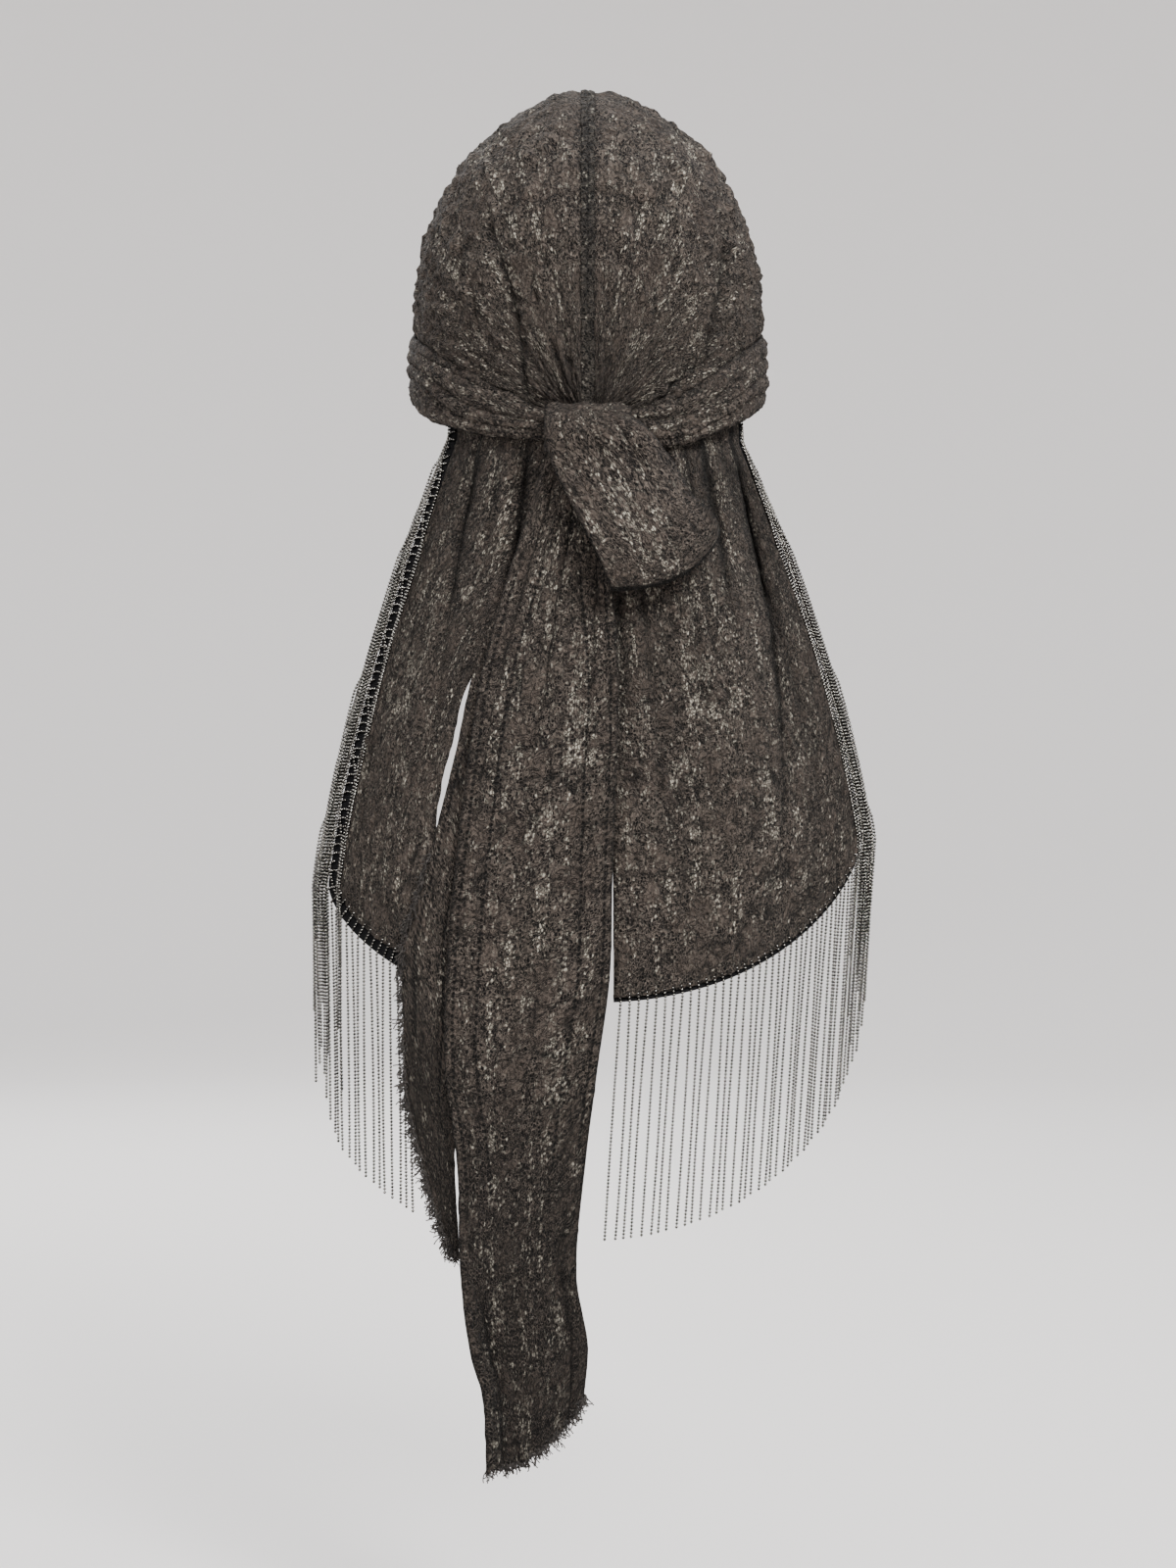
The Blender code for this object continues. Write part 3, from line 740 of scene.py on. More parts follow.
@dataclass(frozen=True)
class LaceFinish:
    """Crinkled lace: a net with pale and dark cells, leaf motifs and fine puckers."""

    name: str = "crinkled_lace"
    thread: tuple[float, float, float] = (0.022, 0.018, 0.015)
    thread_light: tuple[float, float, float] = (0.124, 0.101, 0.083)
    motif: tuple[float, float, float] = (0.062, 0.047, 0.038)
    shadow: tuple[float, float, float] = (0.004, 0.0035, 0.003)
    speck: tuple[float, float, float] = (0.42, 0.39, 0.32)
    motif_amount: float = 0.75
    cell: float = 0.00115
    thread_width: float = 0.15
    motif_spacing: float = 0.024
    roughness: float = 0.85
    net_rise: float = 0.00030
    motif_rise: float = 0.00050
    crinkle_rise: float = 0.00115

    def build(self, effects: SharedEffects) -> bpy.types.Material:
        """Makes the material.

        Args:
            effects: The shared node groups.

        Returns:
            The lace material.
        """
        material = bpy.data.materials.new(self.name)
        material.use_nodes = True
        graph = Graph(material.node_tree)
        grain = graph.node("ShaderNodeUVMap", uv_map=GRAIN).outputs["UV"]
        pale = graph.node("ShaderNodeAttribute", attribute_name="pale").outputs["Fac"]
        open_net_shade = graph.node("ShaderNodeAttribute", attribute_name="open").outputs["Fac"]
        row = graph.node("ShaderNodeAttribute", attribute_name="row").outputs["Fac"]
        net = graph.group(
            effects.net, {"Vector": grain, "Cell": self.cell, "Thread": self.thread_width}
        )
        motif = graph.group(effects.leaves, {"Vector": grain, "Spacing": self.motif_spacing})
        crinkle = graph.group(effects.crinkle, {"Vector": grain})
        along = graph.node("ShaderNodeSeparateXYZ", {0: grain}).outputs[1]
        holes = graph.group(effects.holes, {"Edge": row, "Along": along})
        needle = graph.math("MULTIPLY", holes.outputs["Hole"], 0.6)
        needle = graph.math("MULTIPLY_ADD", holes.outputs["Line"], 0.35, needle)
        leaf = graph.math("MULTIPLY", motif.outputs["Leaf"], self.motif_amount)
        closed = graph.math("MULTIPLY", leaf, 0.8)
        hole = graph.math("MULTIPLY", net.outputs["Hole"], graph.math("SUBTRACT", 1.0, closed))
        # Pale specks in some holes, in columns and patches: partly painted glints off the yarn,
        # partly the pale backing seen through the net.
        upright = graph.vector("MULTIPLY", grain, (1.0, 0.07, 1.0))
        columns = graph.step(graph.noise(upright, 170.0, 2.0), 0.42, 0.66)
        patches = graph.step(graph.noise(grain, 48.0, 2.0), 0.30, 0.62)
        chance = graph.math("MULTIPLY_ADD", graph.math("MULTIPLY", columns, patches), 0.72, 0.06)
        chance = graph.math("MULTIPLY", chance, pale)
        lit = graph.step(graph.math("SUBTRACT", chance, net.outputs["Random"]), -0.05, 0.12)
        knit = graph.noise(graph.vector("MULTIPLY", grain, (1.0, 0.7, 1.0)), 900.0, 1.0)
        knit = graph.math("MULTIPLY", graph.step(knit, 0.35, 0.65), 0.6)
        light = graph.math("MULTIPLY_ADD", crinkle.outputs["Tone"], 0.4, knit)
        thread = graph.blend(light, (*self.thread, 1), (*self.thread_light, 1))
        thread = graph.blend(graph.math("MULTIPLY", leaf, 0.6), thread, (*self.motif, 1))
        outline = graph.math("MULTIPLY", motif.outputs["Outline"], self.motif_amount)
        thread = graph.blend(outline, thread, (*self.shadow, 1))
        # Dark holes: painted shade seen through the net, more of it where the vertex attribute
        # asks.
        dark = graph.step(net.outputs["Other"], 0.45, 0.85)
        dark = graph.math("MULTIPLY_ADD", open_net_shade, 0.7, dark)
        dark = graph.math("MULTIPLY", graph.math("MINIMUM", dark, 1.0), hole)
        colour = graph.blend(dark, thread, (*self.shadow, 1))
        # the pale specks: painted glints and the pale backing
        glow = graph.math("MULTIPLY_ADD", net.outputs["Other"], 0.7, 0.3)
        glow = graph.math("MULTIPLY", graph.math("MULTIPLY", hole, lit), glow)
        colour = graph.blend(glow, colour, (*self.speck, 1))
        # painted shade in the valleys of the finest puckers
        valley = graph.math("MULTIPLY", crinkle.outputs["Valley shade"], 0.92)
        colour = graph.blend(valley, colour, (*self.shadow, 1))
        colour = graph.blend(needle, colour, (*self.shadow, 1))
        # painted shade from the shade attribute: creases, folds, crevices, turned edges and shaded
        # parts
        shade = graph.node("ShaderNodeAttribute", attribute_name="shade").outputs["Fac"]
        colour = graph.blend(graph.math("MULTIPLY", shade, 0.9), colour, (*self.shadow, 1))
        rise = graph.math("MULTIPLY", net.outputs["Rise"], self.net_rise)
        rise = graph.math("MULTIPLY_ADD", motif.outputs["Rise"], self.motif_rise, rise)
        rise = graph.math("MULTIPLY_ADD", crinkle.outputs["Rise"], self.crinkle_rise, rise)
        rise = graph.math("MULTIPLY_ADD", needle, -self.crinkle_rise, rise)
        bump = graph.node(
            "ShaderNodeBump", {"Height": rise, "Strength": 1.0, "Distance": 1.0}
        ).outputs["Normal"]
        shader = graph.node(
            "ShaderNodeBsdfPrincipled",
            {
                "Base Color": colour,
                "Roughness": self.roughness,
                "Normal": bump,
                "Specular IOR Level": 0.15,
                "Sheen Weight": 0.02,
                "Sheen Roughness": 0.5,
            },
        )
        graph.node("ShaderNodeOutputMaterial", {"Surface": shader.outputs[0]})
        return material


@dataclass(frozen=True)
class TapeFinish:
    """Matt black cotton tape with fine ribs across it."""

    name: str = "black_tape"
    colour: tuple[float, float, float] = (0.0035, 0.0035, 0.004)
    worn: tuple[float, float, float] = (0.012, 0.012, 0.013)
    rib: float = 0.0009
    roughness: float = 0.72

    def build(self) -> bpy.types.Material:
        """Makes the material."""
        material = bpy.data.materials.new(self.name)
        material.use_nodes = True
        graph = Graph(material.node_tree)
        grain = graph.node("ShaderNodeUVMap", uv_map=GRAIN).outputs["UV"]
        along = graph.node("ShaderNodeSeparateXYZ", {0: grain}).outputs[0]
        wave = graph.math("SINE", graph.math("MULTIPLY", along, 2 * math.pi / self.rib))
        fuzz = graph.noise(grain, 2200.0, 3.0)
        colour = graph.blend(graph.step(fuzz, 0.45, 0.8), (*self.colour, 1), (*self.worn, 1))
        rise = graph.math("MULTIPLY", wave, self.rib / 9)
        bump = graph.node("ShaderNodeBump", {"Height": rise, "Distance": 1.0}).outputs["Normal"]
        rough = graph.math("MULTIPLY_ADD", fuzz, 0.2, self.roughness - 0.1)
        shader = graph.node(
            "ShaderNodeBsdfPrincipled",
            {
                "Base Color": colour,
                "Roughness": rough,
                "Normal": bump,
                "Specular IOR Level": 0.15,
            },
        )
        graph.node("ShaderNodeOutputMaterial", {"Surface": shader.outputs[0]})
        return material


@dataclass(frozen=True)
class ChainFinish:
    """Bright silver plate, a little duller in places, with dark bead ends."""

    name: str = "silver_chain"
    bright: tuple[float, float, float] = (0.33, 0.315, 0.285)
    dull: tuple[float, float, float] = (0.11, 0.102, 0.090)
    dark_ends_and_wire: tuple[float, float, float] = (0.022, 0.020, 0.018)

    def build(self) -> bpy.types.Material:
        """Makes the material."""
        material = bpy.data.materials.new(self.name)
        material.use_nodes = True
        graph = Graph(material.node_tree)
        place = graph.node("ShaderNodeTexCoord").outputs["Object"]
        blotch = graph.noise(place, 700.0, 1.0)
        colour = graph.blend(graph.step(blotch, 0.35, 0.7), (*self.bright, 1), (*self.dull, 1))
        # Dark bead ends: partly the dark joints where the wire enters, partly a painted dark rim,
        # the dark surroundings that polished silver reflects.
        joint = graph.node("ShaderNodeAttribute", attribute_name="joint").outputs["Fac"]
        colour = graph.blend(graph.step(joint, 0.15, 0.60), colour, (*self.dark_ends_and_wire, 1))
        rough = graph.math("MULTIPLY_ADD", blotch, 0.2, 0.12)
        shader = graph.node(
            "ShaderNodeBsdfPrincipled", {"Base Color": colour, "Metallic": 1.0, "Roughness": rough}
        )
        graph.node("ShaderNodeOutputMaterial", {"Surface": shader.outputs[0]})
        return material


@dataclass(frozen=True)
class ThreadFinish:
    """Loose lace thread, the colour of the net."""

    name: str = "loose_thread"
    dark: tuple[float, float, float] = (0.012, 0.010, 0.009)
    light: tuple[float, float, float] = (0.055, 0.047, 0.041)

    def build(self) -> bpy.types.Material:
        """Makes the material."""
        material = bpy.data.materials.new(self.name)
        material.use_nodes = True
        graph = Graph(material.node_tree)
        place = graph.node("ShaderNodeTexCoord").outputs["Object"]
        fuzz = graph.noise(place, 900.0, 2.0)
        colour = graph.blend(graph.step(fuzz, 0.35, 0.65), (*self.dark, 1), (*self.light, 1))
        shader = graph.node("ShaderNodeBsdfPrincipled", {"Base Color": colour, "Roughness": 0.85})
        graph.node("ShaderNodeOutputMaterial", {"Surface": shader.outputs[0]})
        return material


@dataclass
class Finishes:
    """All the materials of the turban."""

    effects: SharedEffects = field(default_factory=SharedEffects)

    def __post_init__(self) -> None:
        """Builds each material once."""
        self.lace = LaceFinish().build(self.effects)
        self.strap = LaceFinish(
            name="strap_lace", thread=(0.024, 0.019, 0.016), crinkle_rise=0.0012
        ).build(self.effects)
        self.seam = LaceFinish(
            name="seam_lace",
            thread=(0.026, 0.023, 0.019),
            thread_light=(0.075, 0.064, 0.054),
            motif_amount=0.0,
        ).build(self.effects)
        self.tape = TapeFinish().build()
        self.chain = ChainFinish().build()
        dark_ends_and_wire = ChainFinish.dark_ends_and_wire
        self.wire = ChainFinish(name="dark_wire", bright=dark_ends_and_wire, dull=dark_ends_and_wire).build()
        self.thread = ThreadFinish().build()


@dataclass
class Crown:
    """The seamed dome: two side panels and the strip where they join."""

    head: HeadForm
    finishes: Finishes
    straps: "Straps"
    seam_width: float = 0.005
    seam_lap: float = 0.0012
    seam_rise: float = 0.0002
    gap: float = 0.0004
    thickness: float = 0.0011
    cells: tuple[int, int] = (110, 230)
    fold_width: float = 0.0026
    fold_depth: float = 0.0022

    FOLDS = {
        Side.LEFT: ((-0.046, 0.0664), (-0.0345, 0.0325), (-0.0284, -0.0156)),
        Side.RIGHT: ((0.066, 0.060), (0.0597, 0.0235), (0.055, 0.003), (0.034, -0.0156)),
    }

    def fold(self, side: Side, point: Vector) -> float:
        """How deep in the panel's long fold a place at the back is, from 0 to 1."""
        if point.y > 0:
            return 0.0
        spot = Vector((point.x, point.z))
        course = [Vector(place) for place in self.FOLDS[side]]
        nearest = 1.0
        for start, end in zip(course, course[1:]):
            share = (spot - start).dot(end - start) / (end - start).length_squared
            share = min(max(share, 0.0), 1.0)
            nearest = min(nearest, (spot - start.lerp(end, share)).length)
        return math.exp(-((nearest / self.fold_width) ** 2))

    def panel(self, side: Side) -> bpy.types.Object:
        """One side panel, with its grain along the seam.

        Args:
            side: Which panel.

        Returns:
            The panel's object.
        """
        sign = side.value
        start = sign * (self.seam_width / 2 + self.gap)

        def place(across: float, along: float) -> Vector:
            """A point of the panel, from the seam to the rim and from forehead to nape."""
            point = self.head.from_rim(start, sign * across * math.pi / 2, along * math.pi)
            return point * (1 - self.fold_depth * self.fold(side, point) / self.head.depth)

        def tone(across: float, along: float) -> Tone:
            """Fewer pale cells, partly painted glints, at the top, by the seam and towards the
            side, and painted shade in the long folds.
            """
            point = place(across, along)
            top = 1 - 0.75 * ramp((point.z - 0.095) / 0.045)
            edge = 1 - 0.7 * ramp((abs(point.x) - 0.050) / 0.035)
            seam = 0.35 + 0.65 * ramp((abs(point.x) - 0.003) / 0.014)
            knot = 1 - 0.35 * ramp((0.012 - point.z) / 0.03)
            # painted shade in the panel's long folds
            deep = 0.6 * self.fold(side, point)
            return Tone(0.95 * top * edge * seam * knot, 0.35 + 0.3 * (1 - top), 1.0, deep)

        def swell(across: float, along: float) -> float:
            """The puckers die away at the seam and where the strap presses on the panel."""
            point = place(across, along)
            share = math.atan2(abs(point.x), point.y) / math.pi
            pressed = self.straps.edges(sign, share)[1]
            by_seam = 0.22 + 0.78 * ramp(across / 0.035)
            return by_seam * ramp((point.z - pressed + 0.001) / 0.007)

        piece = Cloth(
            name=f"crown_{side.label}_lace",
            cells=self.cells,
            size=(0.185, 0.340),
            place=place,
            material=self.finishes.lace,
            thickness=self.thickness,
            pucker=Pucker(height=0.0032, swell=0.0030, seed=3.0 + sign),
            tone=tone,
            swell=swell,
            weld=0.00002,
            crevice_shade=0.40,
        ).make()
        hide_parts(f"crown_{side.label}")
        return piece

    def seam(self) -> bpy.types.Object:
        """The seam: two pressed edges side by side, with the stitched groove between."""

        def place(across: float, along: float) -> Vector:
            """A point of the seam's outer face."""
            point = self.head.from_rim(0.0, 0.0, along * math.pi)
            outward = (point - Vector((0, 0, self.head.rim(0)))).normalized()
            ridge = 0.0005 * math.sqrt(abs(math.sin(2 * math.pi * across)))
            ridge *= mix(1.0, 0.2, ramp((along - 0.70) / 0.15))
            gather = 0.0003 * math.sin(2 * math.pi * along * 95 + 2.2 * math.sin(70 * along))
            shift = (across - 0.5) * (self.seam_width + self.seam_lap)
            shift += 0.0006 * noise.noise(Vector((along * 60, 0, 0)))
            rim = ramp(min(across, 1 - across) / 0.12)
            lift = self.seam_rise + (ridge + gather * ridge / 0.001) * rim
            return point + Vector((shift, 0, 0)) + outward * lift

        def tone(across: float, along: float) -> Tone:
            """Painted shade, darkest in the groove, over the upper part of the back."""
            wander = 0.18 * noise.noise(Vector((along * 45, 3, 0)))
            groove = math.exp(-(((across - 0.5 - wander) / 0.17) ** 2))
            dark = 0.25 + 0.65 * math.exp(-(((along - 0.68) / 0.12) ** 2))
            return Tone(0.5, 0.6, 1.0, dark * (0.2 + 0.8 * groove))

        piece = Cloth(
            name="crown_seam_lace",
            cells=(10, 420),
            size=(self.seam_width, 0.340),
            place=place,
            material=self.finishes.seam,
            thickness=self.thickness + self.seam_rise,
            pucker=Pucker(height=0.0012, size=0.004, seed=9.0),
            tone=tone,
            weld=0.00002,
        ).make()
        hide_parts("crown_seam")
        return piece

    def build(self) -> list[bpy.types.Object]:
        """Builds the crown.

        Returns:
            Its pieces.
        """
        seam = self.seam()
        left, right = self.panel(Side.LEFT), self.panel(Side.RIGHT)
        return [seam, left, right]


@dataclass
class Straps:
    """The two tie straps round the head, and the turn of cloth that knots them."""

    head: HeadForm
    finishes: Finishes
    width: float = 0.040
    overhang: float = 0.010
    ridge: float = 0.0042
    thickness: float = 0.0013
    stand: float = 0.0006
    knot_width: float = 0.041
    knot_above: float = 0.0052
    knot_below: float = 0.0165
    knot_depth: float = 0.0192
    knot_start: float = math.radians(78)
    knot_end: float = math.radians(-28)

    SECTIONS = (
        BandSection(0.00, 0.95, 0.00, 0.00),
        BandSection(0.50, 0.85, 0.00, 0.00),
        BandSection(0.62, 0.88, 0.25, 0.25),
        BandSection(0.74, 0.76, 0.45, 0.60),
        BandSection(0.84, 0.52, 0.50, 0.95),
        BandSection(0.92, 0.30, 0.45, 0.50),
        BandSection(1.00, 0.28, 0.45, 0.45),
    )

    def edges(self, side: int, share: float) -> tuple[float, float]:
        """Lower and upper heights of the strap at a share of the way from forehead to knot."""
        dip = between(self.SECTIONS, share, "dip_left" if side < 0 else "dip_right")
        low = self.head.rim(math.cos(math.pi * share) * self.head.depth) - self.overhang * dip
        return low, low + self.width * between(self.SECTIONS, share, "tall")

    def strap(self, side: Side) -> bpy.types.Object:
        """One strap, nearly smooth at the forehead and gathered in rolls at the knot."""
        sign = side.value
        rolls = 3.5 if side is Side.LEFT else 4.2

        def phase_at(share: float, up: float) -> float:
            """How many rolls lie below a place, wandering along the strap."""
            wander = 0.45 * noise.noise(Vector((share * 3.6, up * 1.3, sign * 5.0)))
            return rolls * (up + wander * math.sin(math.pi * up))

        def valley(along: float, up: float) -> float:
            """How much painted shade a place gets between two rolls and at the turned edges."""
            closeness = 1 - abs(math.sin(math.pi * phase_at(along, up)))
            deep = 0.75 * ramp((closeness - 0.72) / 0.28) * ramp(along * 1.5 - 0.3)
            return max(deep, rim_shade(up, 0.05, 0.7))

        def place(along: float, up: float) -> Vector:
            """A point of the strap's outer face."""
            share = mix(0.002, 0.998, along)
            low, high = self.edges(sign, share)
            phase = phase_at(share, up)
            roll = abs(math.sin(math.pi * phase)) ** 0.6
            gathered = ramp(share * 1.2)
            rim = ramp(min(up, 1 - up) / 0.10)
            rise = self.ridge * gathered * roll * mix(0.8, 1.15, noise.noise(Vector((phase, 2, 7))))
            smooth = 0.0012 * (1 - gathered)
            return self.head.off(
                sign, math.pi * share, mix(low, high, up), self.stand + (rise + smooth) * rim
            )

        def tone(along: float, up: float) -> Tone:
            """Some pale cells on the crests, and painted shade in the valleys and at the edges."""
            return Tone(0.75 - 0.4 * ramp(abs(along - 0.85) * 3), 0.35, 1.0, valley(along, up))

        piece = Cloth(
            name=f"band_{side.label}_lace",
            cells=(170, 36),
            size=(0.275, 0.060),
            place=place,
            material=self.finishes.strap,
            thickness=self.thickness,
            wall=1.0,
            pucker=Pucker(height=0.0014, size=0.0060, stretch=0.7, seed=21.0 + sign),
            tone=tone,
            swell=lambda along, up: ramp(min(along, 1 - along) / 0.01),
            turned=True,
        ).make()
        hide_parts(f"band_{side.label}")
        return piece

    def knot_frame(self) -> tuple[float, float]:
        """Height of the knot's middle, and half its height."""
        low, high = self.edges(1, 1.0)
        top, bottom = high + self.knot_above, low - self.knot_below
        return (top + bottom) / 2, (top - bottom) / 2

    def knot_out(self, height: float) -> float:
        """How far the knot stands out from the nape at a height."""
        middle, half = self.knot_frame()
        lift = min(max((height - middle) / half, -1.0), 1.0)
        return self.knot_depth * math.sqrt(1 - lift**2)

    def knot(self) -> bpy.types.Object:
        """The turn of cloth over the straps' ends, pleated and rolled in at its sides."""
        middle, half = self.knot_frame()
        nape = -self.head.at(1, math.pi, middle).y

        def place(across: float, down: float) -> Vector:
            """A point of the knot's outer face."""
            angle = mix(self.knot_start, self.knot_end, down)
            x = mix(-0.5, 0.5, across) * self.knot_width
            round_back = nape * (1 - math.sqrt(1 - (x / self.head.half_width) ** 2))
            rolled = mix(0.52, 1.0, math.sqrt(ramp(min(across, 1 - across) / 0.16)))
            drift = across + 0.03 * math.sin(3 * angle + 7 * across)
            pleat = 0.0011 * math.sqrt(abs(math.sin(math.pi * 4.5 * drift))) - 0.0008
            out = (self.knot_depth + pleat) * math.cos(angle) * rolled
            top = 0.0006 * math.sin(5.5 * math.pi * across) * ramp(1 - 3 * down)
            return Vector((x, round_back - nape - out, middle + half * math.sin(angle) + top))

        piece = Cloth(
            name="knot_lace",
            cells=(44, 34),
            size=(0.044, 0.040),
            place=place,
            material=self.finishes.strap,
            thickness=self.thickness,
            pucker=Pucker(height=0.0006, size=0.005, seed=33.0),
            # painted shade where the knot's sides roll under
            tone=lambda across, down: Tone(0.7, 0.3, 1.0, rim_shade(across, 0.05)),
        ).make()
        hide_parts("knot")
        return piece

    def build(self) -> list[bpy.types.Object]:
        """Builds both straps and the knot."""
        return [self.strap(Side.LEFT), self.strap(Side.RIGHT), self.knot()]


@dataclass
class BowLoop:
    """The one drooping loop of the bow, whose front starts over the knot."""

    straps: Straps
    cape: CapeForm
    finishes: Finishes
    top: float = -0.0243
    drop: float = 0.0870
    depth: float = 0.017
    lip: float = 0.0014
    sag: float = 0.0120
    sag_skew: float = 1.6
    sag_square: float = 0.6
    lift: float = 0.5
    behind: float = 0.0082
    over_knot: float = 0.0016
    thickness: float = 0.0013
    end: float = 0.80

    EDGES = (
        LoopSection(0.00, -0.230, 0.00, 0.205, 0.03),
        LoopSection(0.15, -0.228, 0.15, 0.325, 0.12),
        LoopSection(0.33, -0.178, 0.33, 0.465, 0.295),
        LoopSection(0.54, -0.080, 0.54, 0.555, 0.455),
        LoopSection(0.76, 0.030, 0.76, 0.655, 0.545),
        LoopSection(1.00, 0.126, 0.985, 0.715, 0.640),
    )

    def build(self) -> list[bpy.types.Object]:
        """Builds the loop: down the front, round the fold and up behind."""

        def place(along: float, across: float) -> Vector:
            """A point in the middle of the loop's wall."""
            angle = math.pi * mix(0.02, 1 + self.end, along)
            down = (1 - math.cos(angle)) / 2
            skewed = across**self.sag_skew
            left, right = (between(self.EDGES, down, name) for name in ("left", "right"))
            low_left, low_right = (
                between(self.EDGES, down, name) for name in ("left_down", "right_down")
            )
            x = mix(left, right, across) * self.drop
            height = self.top - mix(low_left, low_right, across) * self.drop
            height -= self.sag * down**1.5 * (4 * skewed * (1 - skewed)) ** self.sag_square
            belly = self.depth / 2 * math.sin(angle) * math.sin(angle / 2)
            half_gap = self.lip * math.cos(angle / 2) + belly
            middle = self.behind + abs(half_gap) + self.depth * self.lift * down**2
            out = middle + half_gap
            if angle < math.pi:
                knot = max(self.straps.knot_out(height), self.straps.knot_depth * 0.88)
                if height > self.straps.knot_frame()[0]:
                    knot = self.straps.knot_out(height)
                over = knot + self.over_knot
                out = mix(over, max(out, over * (1 - ramp(down))), ramp((down - 0.20) / 0.35))
                rounded = math.sqrt(ramp(min(across, 1 - across) / 0.14))
                out -= 0.0035 * (1 - rounded) * (1 - ramp((down - 0.5) / 0.4))
                fan = ramp(down / 0.15) * (1 - ramp((down - 0.25) / 0.55))
                pleats = math.sqrt(abs(math.sin(math.pi * (3.5 * across + 0.4))))
                out += 0.0020 * fan * (pleats - 0.6)
            return Vector((x, self.cape.back(x, height) - out, height))

        def tone(along: float, across: float) -> Tone:
            """Pale cells in the middle of the front, painted shade at the turned edges, and painted
            shade over the bottom of the fold and up the inside.
            """
            # painted dark line over the bottom of the fold, and painted shade up the inside
            inside = ramp((along * (1 + self.end) - 0.895) / 0.025)
            edge = rim_shade(across, 0.035, 0.75)
            middle = 1 - 0.75 * ramp((across - 0.60) / 0.2) - 0.3 * ramp((0.25 - across) / 0.2)
            return Tone(1.1 * middle, 0.3, 1.0, max(edge, inside))

        piece = Cloth(
            name="bow_loop_lace",
            cells=(130, 46),
            size=(0.195, 0.060),
            place=place,
            material=self.finishes.strap,
            thickness=self.thickness,
            wall=0.0,
            pucker=Pucker(height=0.0009, size=0.0070, stretch=0.8, seed=41.0),
            tone=tone,
            turned=True,
        ).make()
        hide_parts("bow_loop")
        return [piece]


